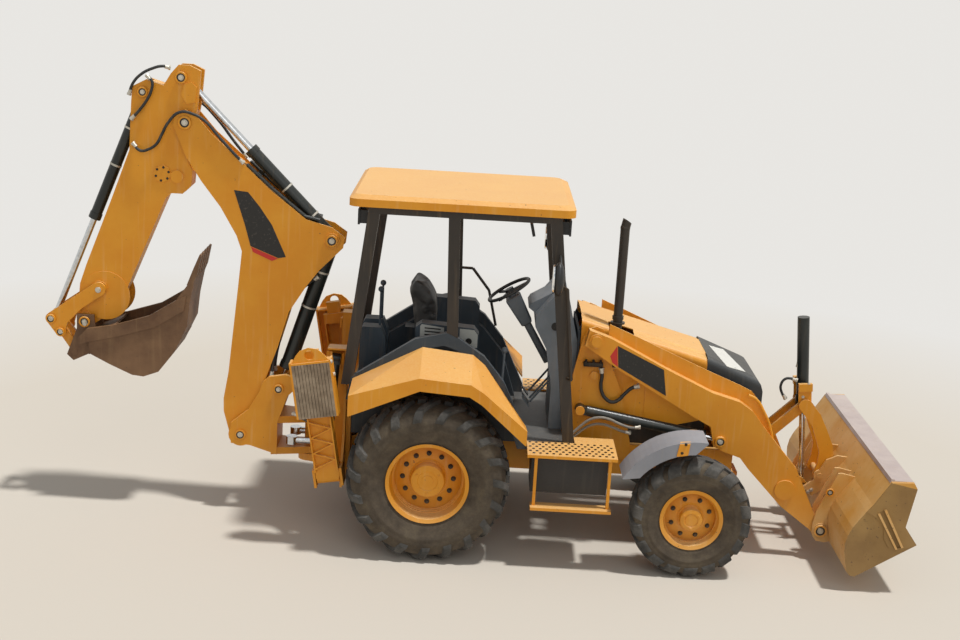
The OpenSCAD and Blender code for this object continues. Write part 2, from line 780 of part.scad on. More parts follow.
module knuckle(s) {
  color(paint) on_side(s) translate([wheelbase, kingpin_y, front_axle_z]) {
    translate([0, 0, -108]) cylinder(h = 216, r = 26);
    for (z = [-108, 68]) {
      translate([0, 0, z]) cylinder(h = 40, r = 60);
      translate([-50, 0, z]) cube([100, 80, 40]);
    }
    translate([-50, 68, -108]) cube([100, 40, 216]);
    translate([0, 100, 0]) rotate([-90, 0, 0]) cylinder(h = 95, r = 70);
    translate([0, 100, 0]) rotate([-90, 0, 0]) cylinder(h = 180, r = hub_bore_r - pin_fit);
    translate([-25, -25, 100]) cube([50, 30, 550.3]);
    translate([-25, -25, 638]) cube([50, 340, 12.3]);
  }
}

module front_fender(s) {
  color(grey) on_side(s) {
    slab(front_y - 150, front_y + 165)
      strip(arc([wheelbase, front_axle_z], 652, 150, 84, 14), 12);
    slab(front_y + 155, front_y + 165)
      polygon(concat(arc([wheelbase, front_axle_z], 655, 150, 84, 14), arc([wheelbase, front_axle_z], 560, 92, 142, 10)));
  }
}

// Wheels

// Tyre section from the inner bead round the tread to the outer bead: half width, radius
function tyre_section(rim_r, r, w) = [
  [-0.36 * w, rim_r - 14], [-0.45 * w, rim_r + 0.25 * (r - rim_r)], [-0.5 * w, rim_r + 0.55 * (r - rim_r)],
  [-0.48 * w, r - 0.16 * w], [-0.4 * w, r - 0.05 * w], [0, r],
  [0.4 * w, r - 0.05 * w], [0.48 * w, r - 0.16 * w], [0.5 * w, rim_r + 0.55 * (r - rim_r)],
  [0.45 * w, rim_r + 0.25 * (r - rim_r)], [0.36 * w, rim_r - 14]];

module turned(section) {
  rotate([-90, 0, 0])
    rotate_extrude($fn = 128) polygon([for (p = section) [p[1], p[0]]]);
}

module tyre(r, rim_r, w, lug_h) {
  color(rubber) {
    turned(tyre_section(rim_r, r - lug_h, w - 2 * lug_h / 3));
    intersection() {
      turned(concat(tyre_section(rim_r, r, w), [[0, rim_r]]));
      for (i = [0:lug_count - 1], h = [-1, 1])
        rotate([0, (i + h * 0.25) * 360 / lug_count, 0])
          translate([0, h * w * 0.25, r - lug_h])
            rotate([0, 0, h * 38])
              translate([-0.028 * r, -w * 0.34, -0.14 * w]) cube([0.075 * r, w * 0.66, 0.4 * w]);
    }
  }
}

// Rim section from the hub out to the lip: offset outward, radius
function rim_section(rim_r, w, dish) = [
  [dish - 14, hub_bore_r], [dish - 14, 0.45 * rim_r], [dish - 44, 0.8 * rim_r], [-0.36 * w, rim_r - 30],
  [-0.36 * w, rim_r - 14.5], [0.36 * w, rim_r - 14.5], [0.375 * w, rim_r], [0.39 * w, rim_r],
  [0.37 * w, rim_r - 30], [0.2 * w, rim_r - 44], [dish - 30, 0.8 * rim_r + 8], [dish, 0.5 * rim_r],
  [dish, 0.36 * rim_r], [dish + 0.22 * rim_r, 0.33 * rim_r], [dish + 0.26 * rim_r, 0.24 * rim_r], [dish + 0.26 * rim_r, hub_bore_r]];

module wheel_place(x, y, z, s) {
  on_side(s) translate([x, y, z]) children();
}

module rear_tyre(s) {
  wheel_place(0, rear_y, rear_r, s) tyre(rear_r, rear_rim_r, rear_w, rear_lug_h);
}

module front_tyre(s) {
  wheel_place(wheelbase, front_y, front_axle_z, s) tyre(front_r, front_rim_r, front_w, front_lug_h);
}

module rear_rim(s) {
  color(paint) wheel_place(0, rear_y, rear_r, s) turned(rim_section(rear_rim_r, rear_w, 40));
}

module front_rim(s) {
  color(paint) wheel_place(wheelbase, front_y, front_axle_z, s) turned(rim_section(front_rim_r, front_w, 50));
}

// Digger

casting_side = [[-1700, 600], [-1540, 590], [-1310, 520], [-1310, 800], [-1230, 1040], [-1160, 1110], [-1160, 1195],
                [-1250, 1225], [-1390, 1200], [-1440, 1150], [-1470, 1060], [-1560, 900], [-1700, 780]];

module swing_casting() {
  color(paint) difference() {
    union() {
      both_sides() slab(138, 178) union() {
        polygon(casting_side);
        translate(boom_foot) circle(r = 100);
      }
      for (z = [518, 794])
        linear_extrude_at(z, 60) union() {
          translate([swing_x, 0]) circle(r = 100);
          polygon([[swing_x, -100], [swing_x, 100], [-1360, 178], [-1360, -178]]);
        }
      translate([swing_x, 0, 445]) cylinder(h = 480, r = 45);
      slab(-140, 140) polygon([[-1310, 518], [-1360, 518], [-1360, 854], [-1310, 854]]);
      pin(boom_foot, -190, 190, 38);
      both_sides() pin(casting_pin, 138, 192, 34);
    }
  }
}

module swing_rod(s) {
  color(bright) on_side(s) translate([0, swing_rod_y, 645]) {
    x_rod(-1180, -460, 30);
    translate([-1190, 0, -32]) cylinder(h = 64, r = 48);
  }
}

boom_side = [[-2120, 3380], [-2037, 3345], [-1907, 3200], [-1699, 3020], [-1411, 2761], [-1120, 2541], [-909, 2487],
             [-802, 2414], [-812, 2321], [-1002, 2122], [-1105, 1981], [-1243, 1755], [-1329, 1448], [-1454, 1079],
             [-1530, 821], [-1560, 640], [-1640, 590], [-1715, 650], [-1773, 862], [-1775, 975], [-1738, 1202], [-1669, 1947],
             [-1643, 2245], [-1689, 2375], [-1824, 2605], [-1981, 2806], [-2112, 3006], [-2215, 3250], [-2200, 3340]];
boom_core = [[-1975, 3085], [-1699, 2990], [-1411, 2741], [-1250, 2600], [-1260, 2300], [-1300, 1900],
             [-1349, 1448], [-1474, 1079], [-1545, 821], [-1560, 640], [-1640, 590], [-1715, 650], [-1773, 862], [-1775, 975],
             [-1738, 1202], [-1669, 1947], [-1643, 2245], [-1689, 2375], [-1824, 2605], [-1940, 2800], [-1962, 2880]];

module boom() {
  color(paint) difference() {
    union() {
      both_sides() slab(boom_y - 14, boom_y) polygon(boom_side);
      slab(-boom_y + 13, boom_y - 13) polygon(boom_core);
      pin(boom_ear, -boom_y - 16, boom_y + 16, 34);
      both_sides() pin(boom_ear, boom_y, boom_y + 12, 62);
      pin(stick_pivot, -boom_y - 8, boom_y + 8, 40);
    }
    pin(boom_foot, -150, 150, 38 + pin_fit);
  }
}

hose_run = [[-1010, 2540], [-1130, 2564], [-1415, 2785], [-1610, 2958]];

// Clamps of the hoses: edge of the boom's core, distance along it, height above it
hose_clamps = [[2, 130, 52], [1, 185, 46]];

// Point at distance t along an edge of the boom's core, h above it
function off_core(i, t, h) =
  let (u = unit(boom_core[i + 1] - boom_core[i])) boom_core[i] + t * u + h * [-u[1], u[0]];

// Two hoses on each side of the top edge of the boom, in clamps
module boom_hoses() {
  color(ram_black) both_sides() {
    for (y = [82, 106])
      for (i = [0:len(hose_run) - 2]) {
        bar([hose_run[i][0], y, hose_run[i][1]], [hose_run[i + 1][0], y, hose_run[i + 1][1]], hose_r);
        translate([hose_run[i + 1][0], y, hose_run[i + 1][1]]) sphere(r = hose_r + 0.5, $fn = 24);
      }
    for (c = hose_clamps)
      slab(67, 105)
        polygon([off_core(c[0], c[1], 0), off_core(c[0], c[1] + 44, 0), off_core(c[0], c[1] + 44, c[2]),
                 off_core(c[0], c[1], c[2])]);
  }
}

module boom_barrel() {
  color(ram_black) difference() {
    from_to(boom_ear, casting_pin) union() {
      difference() {
        union() {
          x_rod(75, 1190, boom_ram_r);
          x_rod(1140, 1190, boom_ram_r * 1.1);
          both_sides() slab(46, 74) union() {
            circle(r = 58);
            translate([0, -45]) square([120, 90]);
          }
        }
        x_rod(130, 1200, 32 + ram_fit);
      }
    }
    pin(boom_ear, -90, 90, 34 + pin_fit);
    pin(boom_ear, -46, 46, 66);
  }
}

module boom_rod() {
  color(bright) from_to(boom_ear, casting_pin)
    {
      ram_rod(norm(casting_pin - boom_ear), 1120, 32, 50, 60);
      translate([norm(casting_pin - boom_ear), 0, 0]) pin([0, 0], -130, 130, 28);
    }
}

stick_side = [[-2000, 3690], [-2023, 3420], [-2060, 3200], [-2100, 2975], [-2060, 2880], [-2070, 2760], [-2140, 2690],
              [-2230, 2690], [-2274, 2652], [-2669, 1688], [-2860, 1560], [-2960, 1500], [-3010, 1580], [-2986, 1888],
              [-2932, 2053], [-2717, 2626], [-2574, 3025], [-2560, 3400], [-2550, 3540], [-2440, 3600], [-2300, 3560],
              [-2240, 3660], [-2180, 3730], [-2090, 3730]];

module stick() {
  color(paint) difference() {
    union() {
      slab(-stick_y, stick_y) polygon(stick_side);
      pin(dig_hinge, -110, 110, 70);
      pin(idler_pin, -108, 108, 62);
      pin(idler_pin, -146, 146, idler_pin_r);
      pin(stick_top, -stick_y - 16, stick_y + 16, 36);
      pin(dig_base, -stick_y - 16, stick_y + 16, 30);
    }
    pin(stick_pivot, -200, 200, 40 + pin_fit);
    both_sides() pin(dig_hinge, 95, 200, 30 + pin_fit);
    slab(-52, 52) polygon([[-1850, 3800], [-1850, 3330], [-1990, 3330], [-2060, 3385], [-2225, 3400], [-2262, 3480], [-2262, 3800]]);
    slab(-52, 52) polygon([[-2700, 3700], [-2700, 3020], [-2555, 3020], [-2400, 3380], [-2400, 3700]]);
  }
  color(paint) {
    pin(dig_base, -60, 60, 26);
    both_sides() {
      pin([-2775, 1800], stick_y - 1, stick_y + 6, 205);
      pin([-2185, 2830], stick_y - 1, stick_y + 14, 52);
      slab(stick_y - 1, stick_y + 10)
        polygon([[-2075, 3600], [-2030, 3560], [-2040, 3440], [-2110, 3420], [-2160, 3500], [-2130, 3580]]);
    }
  }
}

module stick_barrel() {
  color(ram_black) difference() {
    from_to(boom_ear, stick_top) barrel(990, stick_ram_r - 2, 30, 52, 38);
    pin(boom_ear, -90, 90, 34 + pin_fit);
  }
}

module stick_rod() {
  color(bright)
    from_to(boom_ear, stick_top) ram_rod(norm(stick_top - boom_ear), 1000, 30, 50, 42);
}

module dig_barrel() {
  color(ram_black) difference() {
    from_to(dig_base, idler_end) barrel(1150, dig_ram_r, 26, 46, 42);
    pin(dig_base, -90, 90, 26 + pin_fit);
  }
}

module dig_rod() {
  color(bright) from_to(dig_base, idler_end)
    ram_rod(norm(idler_end - dig_base), 1200, 26, 42, 38);
}

module idler_links() {
  color(paint) both_sides() difference() {
    slab(116, 142) union() {
      translate(idler_pin) circle(r = idler_r + 8);
      translate(idler_end) circle(r = idler_r);
      translate(idler_knee) circle(r = 44);
      polygon([[-2850, 1910], [-3241, 1630], [-3250, 1560], [-3172, 1455], [-3110, 1446], [-3080, 1560], [-2960, 1690],
               [-2785, 1815]]);
    }
    pin(idler_pin, 100, 150, idler_pin_r + pin_fit);
  }
  color(paint) both_sides() {
    pin(idler_knee, 116, 156, 30);
    pin(idler_end, 88, 156, 32);
  }
}

module coupler_link() {
  color(paint) both_sides() difference() {
    link_plate(idler_end, dig_ear, 50, 84, 46);
    pin(dig_ear, 40, 100, 26 + pin_fit);
  }
}

dig_wrap = [[-1999, 2056], [-2048, 1802], [-2068, 1606], [-2177, 1373], [-2301, 1207], [-2425, 1159], [-2521, 1168],
            [-2711, 1251], [-2870, 1330]];
dig_rim = [[-2890, 1547], [-2671, 1589], [-2378, 1685], [-2161, 1825]];
dig_band = [[-2960, 1470], [-2890, 1547], [-2671, 1589], [-2378, 1685], [-2161, 1825], [-2075, 1870], [-2090, 1745],
            [-2330, 1590], [-2650, 1490], [-2900, 1430], [-2960, 1400]];
wear_bars = [[-2040, 1850, 84], [-2066, 1690, 88], [-2090, 1560, 68], [-2140, 1450, 62], [-2200, 1345, 58], [-2270, 1250, 54]];

tooth = [[-2072, 1960], [-2028, 1950], [-1985, 2060], [-1955, 2215], [-1968, 2222], [-2022, 2092]];

module digging_bucket() {
  color(worn_steel) {
    slab(-dig_y + 14, dig_y - 14) {
      strip(dig_wrap, -14);
      polygon([[-2866, 1328], [-2882, 1318], [-2895, 1470], [-2880, 1480], [-2672, 1580], [-2666, 1566], [-2872, 1462]]);
    }
    both_sides() {
      slab(dig_y - 14, dig_y) polygon(concat(dig_wrap, dig_rim));
      slab(118, 148)
        polygon([[-2860, 1640], [-3000, 1640], [-3000, 1520], [-3085, 1290], [-3030, 1240], [-2850, 1330], [-2850, 1500]]);
    }
    both_sides() slab(dig_y - 1, dig_y + 12) polygon(dig_band);
    for (w = wear_bars)
      translate([w[0], -dig_y, w[1]]) rotate([0, -w[2], 0]) cube([46, 2 * dig_y, 16]);
    for (i = [0:4])
      translate([0, (i - 2) * (2 * dig_y - tooth_w) / 4, 0])
        slab(-tooth_w / 2, tooth_w / 2) polygon(tooth);
    pin(dig_ear, -152, 152, 26);
    both_sides() pin(dig_hinge, 100, 152, 30);
  }
}

// Stabilisers, drawn for the left side

module lean_at_pivot() {
  translate([leg_pivot_x, 0, leg_pivot_z])
    rotate([0, -leg_lean, 0]) children();
}

module stabiliser_leg(s) {
  color(paint) on_side(s) lean_at_pivot() difference() {
    union() {
      translate([-95, leg_y - leg_t / 2, 0]) cube([190, leg_t, leg_len - 60]);
      translate([-90, leg_y, 0]) rotate([0, 90, 0]) cylinder(h = 180, r = 55);
      translate([-60, leg_y - 30, leg_len - 70]) cube([120, 60, 110]);
      for (x = [-95, 83])
        translate([x, leg_y, 62]) cube([12, leg_t / 2 + rib_h, leg_len - 560]);
      for (i = [0:2]) {
        z = 90 + 130 * i;
        panel([[-84, leg_y + 50, z], [84, leg_y + 50, z + 66], [-84, leg_y + leg_t / 2 + rib_h - 5, z],
               [84, leg_y + leg_t / 2 + rib_h - 5, z + 66]], 8);
        panel([[-84, leg_y + 50, z + 130], [84, leg_y + 50, z + 66], [-84, leg_y + leg_t / 2 + rib_h - 5, z + 130],
               [84, leg_y + leg_t / 2 + rib_h - 5, z + 66]], 8);
      }
    }
    translate([-83, leg_y - leg_t / 2 - 1, 58]) cube([166, leg_t - 8, leg_len - 208]);
    translate([-200, leg_y, 0]) rotate([0, 90, 0]) cylinder(h = 400, r = 30 + pin_fit);
  }
  color(paint) on_side(s) lean_at_pivot() {
    translate([-150, leg_y + leg_t / 2, leg_len - 480]) cube([300, 14, 440]);
    for (x = [-166, 150])
      translate([x, leg_y, leg_len - 480]) cube([16, leg_t / 2 + 74, 460]);
    translate([-150, leg_y, leg_len - 40]) cube([300, leg_t / 2 + 74, 14]);
    difference() {
      translate([0, leg_y + leg_t / 2 + 60, leg_len - 30]) rotate([90, 0, 0]) linear_extrude(height = 14)
        polygon([[-150, 0], [150, 0], [110, 60], [70, 100], [0, 118], [-70, 100], [-110, 60]]);
      translate([0, leg_y + leg_t / 2 + 80, leg_len + 30]) rotate([90, 0, 0]) cylinder(h = 60, r = 38);
      translate([-38, leg_y, leg_len - 20]) cube([76, leg_t, 50]);
    }
  }
  color(paint) on_side(s) lean_at_pivot()
    for (x = [-84, 56])
      translate([x, stab_eye[0], stab_eye[1]]) rotate([0, 90, 0]) cylinder(h = 28, r = 42);
}

// Pad of upright rubber strips under its arched bracket
module stabiliser_pad(s) {
  color(rubber) on_side(s) lean_at_pivot()
    translate([-150, leg_y + leg_t / 2 + 14, leg_len - 480]) difference() {
      cube([300, 60, 440]);
      for (i = [1:strip_count - 1])
        translate([300 * i / strip_count - 2, 50, -1]) cube([4, 20, 450]);
    }
}

module stabiliser_barrel(s) {
  color(ram_black) on_side(s) stab_frame() difference() {
    barrel(500, 42, 24, 40, 34);
    pin([0, 0], -40, 40, stab_pin_r + pin_fit);
  }
}

module stabiliser_rod(s) {
  color(bright) on_side(s) stab_frame() ram_rod(norm(stab_reach(0)), norm(stab_reach(0)) - 80, 24, 38, 26);
}

// Eye of a stabiliser cylinder with its leg lowered by an angle, seen from the cylinder's base pin
function stab_reach(lowered) =
  let (r = norm(stab_eye - [leg_y, 0]), a = atan2(stab_eye[0] - leg_y, stab_eye[1]) + lowered)
  [leg_pivot_x - r * cos(a) * sin(leg_lean), leg_y + r * sin(a), leg_pivot_z + r * cos(a) * cos(leg_lean)] - stab_base;

// Turns +X along a raised leg's cylinder and +Y along its base pin
module stab_frame() {
  x = unit(stab_reach(0));
  y = unit(cross(x, unit(stab_reach(leg_travel))));
  z = cross(x, y);
  translate(stab_base)
    multmatrix([[x[0], y[0], z[0], 0], [x[1], y[1], z[1], 0], [x[2], y[2], z[2], 0], [0, 0, 0, 1]]) children();
}

// Puts the origin on the ground at the middle of the whole length
length_middle = (bucket_back[0][0] + idler_end[0] - idler_r) / 2;

module placed() {
  translate([-length_middle, 0, 0]) children();
}

placed() main_frame();
placed() engine_block();
placed() axles();
placed() backhoe_frame();
placed() rear_fenders();
placed() cab_body();
placed() canopy_frame();
placed() canopy_roof();
placed() dash_console();
placed() side_steps();
placed() swing_barrels();
placed() exhaust_stack();
placed() work_lamps();
placed() hood();
placed() hood_nose();
placed() operator_seat();
placed() steering_wheel();
placed() loader_arms();
placed() lift_barrels();
placed() lift_rods();
placed() tilt_levers();
placed() tilt_barrel();
placed() tilt_rod();
placed() tilt_links();
placed() loader_bucket();
placed() knuckle(1);  // knuckle_left
placed() knuckle(-1);  // knuckle_right
placed() front_fender(1);  // front_fender_left
placed() front_fender(-1);  // front_fender_right
placed() rear_tyre(1);  // rear_tyre_left
placed() rear_tyre(-1);  // rear_tyre_right
placed() rear_rim(1);  // rear_rim_left
placed() rear_rim(-1);  // rear_rim_right
placed() front_tyre(1);  // front_tyre_left
placed() front_tyre(-1);  // front_tyre_right
placed() front_rim(1);  // front_rim_left
placed() front_rim(-1);  // front_rim_right
placed() swing_casting();
placed() swing_rod(1);  // swing_rod_left
placed() swing_rod(-1);  // swing_rod_right
placed() boom();
placed() boom_hoses();
placed() boom_barrel();
placed() boom_rod();
placed() stick();
placed() stick_barrel();
placed() stick_rod();
placed() digging_bucket();
placed() dig_barrel();
placed() dig_rod();
placed() idler_links();
placed() coupler_link();
placed() stabiliser_leg(1);  // stabiliser_leg_left
placed() stabiliser_leg(-1);  // stabiliser_leg_right
placed() stabiliser_pad(1);  // stabiliser_pad_left
placed() stabiliser_pad(-1);  // stabiliser_pad_right
placed() stabiliser_barrel(1);  // stabiliser_barrel_left
placed() stabiliser_barrel(-1);  // stabiliser_barrel_right
placed() stabiliser_rod(1);  // stabiliser_rod_left
placed() stabiliser_rod(-1);  // stabiliser_rod_right
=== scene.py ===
import math

import bmesh
import bpy
from mathutils import Matrix, Vector
from mathutils.bvhtree import BVHTree


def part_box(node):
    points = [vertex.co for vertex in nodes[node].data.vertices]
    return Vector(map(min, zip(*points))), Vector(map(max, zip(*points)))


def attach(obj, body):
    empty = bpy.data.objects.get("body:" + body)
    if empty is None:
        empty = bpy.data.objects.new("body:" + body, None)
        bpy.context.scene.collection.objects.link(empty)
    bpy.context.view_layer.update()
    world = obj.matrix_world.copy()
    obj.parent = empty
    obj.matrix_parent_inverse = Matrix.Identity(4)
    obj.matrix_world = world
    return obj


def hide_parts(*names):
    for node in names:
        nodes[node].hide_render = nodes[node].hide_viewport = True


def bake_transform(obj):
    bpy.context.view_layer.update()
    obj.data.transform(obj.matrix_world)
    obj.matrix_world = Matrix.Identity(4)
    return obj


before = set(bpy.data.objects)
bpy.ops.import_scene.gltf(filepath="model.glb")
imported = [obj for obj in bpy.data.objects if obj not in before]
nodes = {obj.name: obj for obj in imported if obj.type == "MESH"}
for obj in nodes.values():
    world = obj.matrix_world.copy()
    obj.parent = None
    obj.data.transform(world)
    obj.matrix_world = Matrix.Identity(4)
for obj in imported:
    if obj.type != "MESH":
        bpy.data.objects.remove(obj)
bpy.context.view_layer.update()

# Camera. The photograph is taken from the machine's right side, from a little above head height on a
# slope, with a slight roll; its position and lens come from fitting known pins and wheels.
IMAGE_W = 960
IMAGE_H = 640
FOCAL_PX = 1461.93
SENSOR_MM = 36.0
REAR_AXLE_X = (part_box("rear_rim_right")[0].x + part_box("rear_rim_right")[1].x) / 2
camera_place = Vector((0.28536 + REAR_AXLE_X, -11.89541, 4.75589))
camera_right = Vector((0.99834, 0.00927, 0.05684))
camera_up = Vector((-0.05738, 0.24489, 0.96785))
camera_back = camera_right.cross(camera_up)
camera_data = bpy.data.cameras.new("photo_camera")
camera_data.sensor_width = SENSOR_MM
camera_data.lens = FOCAL_PX * SENSOR_MM / IMAGE_W
camera = bpy.data.objects.new("photo_camera", camera_data)
camera.matrix_world = Matrix((
    (camera_right.x, camera_up.x, camera_back.x, camera_place.x),
    (camera_right.y, camera_up.y, camera_back.y, camera_place.y),
    (camera_right.z, camera_up.z, camera_back.z, camera_place.z),
    (0, 0, 0, 1),
))
bpy.context.collection.objects.link(camera)
bpy.context.scene.camera = camera


# Yard and light. A pale yard fades into a pale backdrop, so that no horizon shows. One sun stands high
# ahead of the machine; a wide weak one and the open sky fill the side that faces the camera.
def linear(code):
    """An sRGB hex colour as Blender's linear red, green, blue and alpha"""
    parts = [int(code[i:i + 2], 16) / 255 for i in (1, 3, 5)]
    return [p / 12.92 if p <= 0.04045 else ((p + 0.055) / 1.055) ** 2.4 for p in parts] + [1.0]


def add_node(tree, kind, inputs=None, **settings):
    """Adds a node; inputs maps socket names or numbers to a value or to another node's output socket"""
    node = tree.nodes.new(kind)
    for name, value in settings.items():
        setattr(node, name, value)
    for socket, value in (inputs or {}).items():
        if isinstance(value, bpy.types.NodeSocket):
            tree.links.new(value, node.inputs[socket])
        else:
            node.inputs[socket].default_value = value
    return node


def new_material(name):
    """An empty node material: its tree, its surface shader and its object coordinates in metres"""
    material = bpy.data.materials.new(name)
    material.use_nodes = True
    tree = material.node_tree
    tree.nodes.clear()
    shader = add_node(tree, "ShaderNodeBsdfPrincipled")
    add_node(tree, "ShaderNodeOutputMaterial", {"Surface": shader.outputs["BSDF"]})
    place = add_node(tree, "ShaderNodeTexCoord").outputs["Object"]
    return material, tree, shader, place


def ramp(tree, factor, stops):
    """A colour ramp through (position, hex colour) stops"""
    node = add_node(tree, "ShaderNodeValToRGB", {"Fac": factor})
    elements = node.color_ramp.elements
    while len(elements) < len(stops):
        elements.new(0.5)
    for element, (position, code) in zip(elements, stops):
        element.position = position
        element.color = linear(code)
    return node.outputs["Color"]


BACKDROP = "#F1EFEB"
BACKDROP_STRENGTH = 0.92
SKY_STRENGTH = 0.47
bpy.context.scene.view_settings.view_transform = "Standard"
sky = bpy.data.worlds.new("pale_sky")
sky.use_nodes = True
sky.node_tree.nodes.clear()
rays = add_node(sky.node_tree, "ShaderNodeLightPath")
seen = add_node(sky.node_tree, "ShaderNodeMath",
                {0: rays.outputs["Is Camera Ray"], 1: rays.outputs["Is Glossy Ray"]}, operation="MAXIMUM")
fill_light = add_node(sky.node_tree, "ShaderNodeBackground",
                      {"Color": linear("#E4E6EA"), "Strength": SKY_STRENGTH})
backdrop = add_node(sky.node_tree, "ShaderNodeBackground",
                    {"Color": linear(BACKDROP), "Strength": BACKDROP_STRENGTH})
mixed = add_node(sky.node_tree, "ShaderNodeMixShader",
                 {0: seen.outputs[0], 1: fill_light.outputs[0], 2: backdrop.outputs[0]})
add_node(sky.node_tree, "ShaderNodeOutputWorld", {"Surface": mixed.outputs[0]})
bpy.context.scene.world = sky

SUNS = (
    # name, place it shines from, strength, width in degrees
    ("sun_high", (1.9, -0.6, 6.0), 2.75, 4),
    ("sun_fill", (1.5, -5.0, 3.5), 0.36, 40),
)
for name, place, energy, spread_deg in SUNS:
    lamp_data = bpy.data.lights.new(name, "SUN")
    lamp_data.energy = energy
    lamp_data.angle = math.radians(spread_deg)
    lamp = bpy.data.objects.new(name, lamp_data)
    lamp.location = place
    lamp.rotation_euler = Vector(place).to_track_quat("Z", "Y").to_euler()
    bpy.context.collection.objects.link(lamp)

YARD_HALF = 60.0
FADE_FROM = 5.5
FADE_TO = 10.0
yard_mesh = bpy.data.meshes.new("yard")
yard_bm = bmesh.new()
bmesh.ops.create_grid(yard_bm, x_segments=1, y_segments=1, size=YARD_HALF)
yard_bm.to_mesh(yard_mesh)
yard_bm.free()
yard = bpy.data.objects.new("yard", yard_mesh)
bpy.context.collection.objects.link(yard)
concrete, tree, shader, place = new_material("pale_concrete")
shader.inputs["Base Color"].default_value = linear("#CBC3B6")
shader.inputs["Roughness"].default_value = 0.95
shader.inputs["Specular IOR Level"].default_value = 0.0
away = add_node(tree, "ShaderNodeVectorMath", {0: place}, operation="LENGTH").outputs["Value"]
far = add_node(tree, "ShaderNodeMapRange",
               {"Value": away, "From Min": FADE_FROM, "From Max": FADE_TO}).outputs["Result"]
straight = add_node(tree, "ShaderNodeLightPath").outputs["Is Camera Ray"]
faded = add_node(tree, "ShaderNodeMath", {0: far, 1: straight}, operation="MULTIPLY").outputs[0]
glow = add_node(tree, "ShaderNodeEmission", {"Color": linear(BACKDROP), "Strength": BACKDROP_STRENGTH})
blended = add_node(tree, "ShaderNodeMixShader", {0: faded, 1: shader.outputs["BSDF"], 2: glow.outputs[0]})
surface = next(n for n in tree.nodes if n.type == "OUTPUT_MATERIAL").inputs["Surface"]
tree.links.new(blended.outputs[0], surface)
yard_mesh.materials.append(concrete)


# Painted steelwork: frame, towers, arms, digger and rims. Sprayed enamel over plate, paler on faces that
# look up with settled dust and painted sunlight, with dust towards the ground, rain runs down its sides and
# chips down to dark steel.
PATCH_PER_M = 3.0  # fading, in patches a third of a metre wide
GRAIN_PER_M = 60.0  # dust grain, drawn coarser than real dust so that it shows
CHIP_PER_M = 34.0  # chips about 30 mm apart
RUN_PER_M = 26.0  # rain runs about 40 mm apart
BARE_STEEL = "#5A4330"


def paint_nodes(material, *names):
    """Gives CAD nodes one material all over"""
    for name in names:
        mesh = nodes[name].data
        mesh.materials.clear()
        mesh.materials.append(material)


def weathered(name, coat, faded, dust, roughness, dust_top, chips=0.0, metallic=0.0, top_dust_and_sunlight=0.3):
    """A finish with fading patches, runs, dust that thickens below dust_top metres, chips, and dust and painted
    sunlight on faces that look up
    """
    material, tree, shader, place = new_material(name)
    patches = add_node(tree, "ShaderNodeTexNoise",
                       {"Vector": place, "Scale": PATCH_PER_M, "Detail": 6.0, "Roughness": 0.6}).outputs["Fac"]
    colour = ramp(tree, patches, [(0.35, coat), (0.7, faded)])
    tall = add_node(tree, "ShaderNodeMapping", {"Vector": place, "Scale": (1.0, 1.0, 0.07)}).outputs[0]
    runs = add_node(tree, "ShaderNodeTexNoise",
                    {"Vector": tall, "Scale": RUN_PER_M, "Detail": 3.0}).outputs["Fac"]
    streak = add_node(tree, "ShaderNodeMapRange",
                      {"Value": runs, "From Min": 0.56, "From Max": 0.78, "To Max": 0.22}).outputs["Result"]
    colour = add_node(tree, "ShaderNodeMix", {0: streak, 6: colour, 7: linear(dust)},
                      data_type="RGBA").outputs[2]
    grain = add_node(tree, "ShaderNodeTexNoise",
                     {"Vector": place, "Scale": GRAIN_PER_M, "Detail": 8.0, "Roughness": 0.7}).outputs["Fac"]
    height = add_node(tree, "ShaderNodeSeparateXYZ", {"Vector": place}).outputs["Z"]
    low = add_node(tree, "ShaderNodeMapRange",
                   {"Value": height, "From Min": dust_top, "From Max": 0.0, "To Max": 0.8}).outputs["Result"]
    spread = add_node(tree, "ShaderNodeMath", {0: low, 1: patches}, operation="MULTIPLY").outputs[0]
    # Faces that look up take the dust colour: settled dust, and painted sunlight on top faces.
    facing = add_node(tree, "ShaderNodeNewGeometry").outputs["Normal"]
    upward = add_node(tree, "ShaderNodeSeparateXYZ", {"Vector": facing}).outputs["Z"]
    upward_dust_and_sunlight = add_node(tree, "ShaderNodeMapRange",
                     {"Value": upward, "From Min": 0.5, "To Max": top_dust_and_sunlight}).outputs["Result"]
    settled_dust_and_sunlight = add_node(tree, "ShaderNodeMath", {0: upward_dust_and_sunlight, 1: grain}, operation="MULTIPLY").outputs[0]
    dust_and_sunlight = add_node(tree, "ShaderNodeMath", {0: spread, 1: settled_dust_and_sunlight}, operation="ADD",
                     use_clamp=True).outputs[0]
    colour = add_node(tree, "ShaderNodeMix", {0: dust_and_sunlight, 6: colour, 7: linear(dust)},
                      data_type="RGBA").outputs[2]
    if chips:
        spots = add_node(tree, "ShaderNodeTexNoise",
                         {"Vector": place, "Scale": CHIP_PER_M, "Detail": 3.0, "Roughness": 0.55}).outputs["Fac"]
        limits = {"Value": spots, "From Min": 0.74 - chips, "From Max": 0.77 - chips, "To Max": 0.75}
        bare = add_node(tree, "ShaderNodeMapRange", limits).outputs["Result"]
        colour = add_node(tree, "ShaderNodeMix", {0: bare, 6: colour, 7: linear(BARE_STEEL)},
                          data_type="RGBA").outputs[2]
    tree.links.new(colour, shader.inputs["Base Color"])
    gloss = add_node(tree, "ShaderNodeMapRange",
                     {"Value": grain, "To Min": roughness - 0.08, "To Max": roughness + 0.22}).outputs["Result"]
    tree.links.new(gloss, shader.inputs["Roughness"])
    shader.inputs["Metallic"].default_value = metallic
    bump = add_node(tree, "ShaderNodeBump", {"Strength": 0.12, "Distance": 0.002, "Height": grain})
    tree.links.new(bump.outputs["Normal"], shader.inputs["Normal"])
    return material
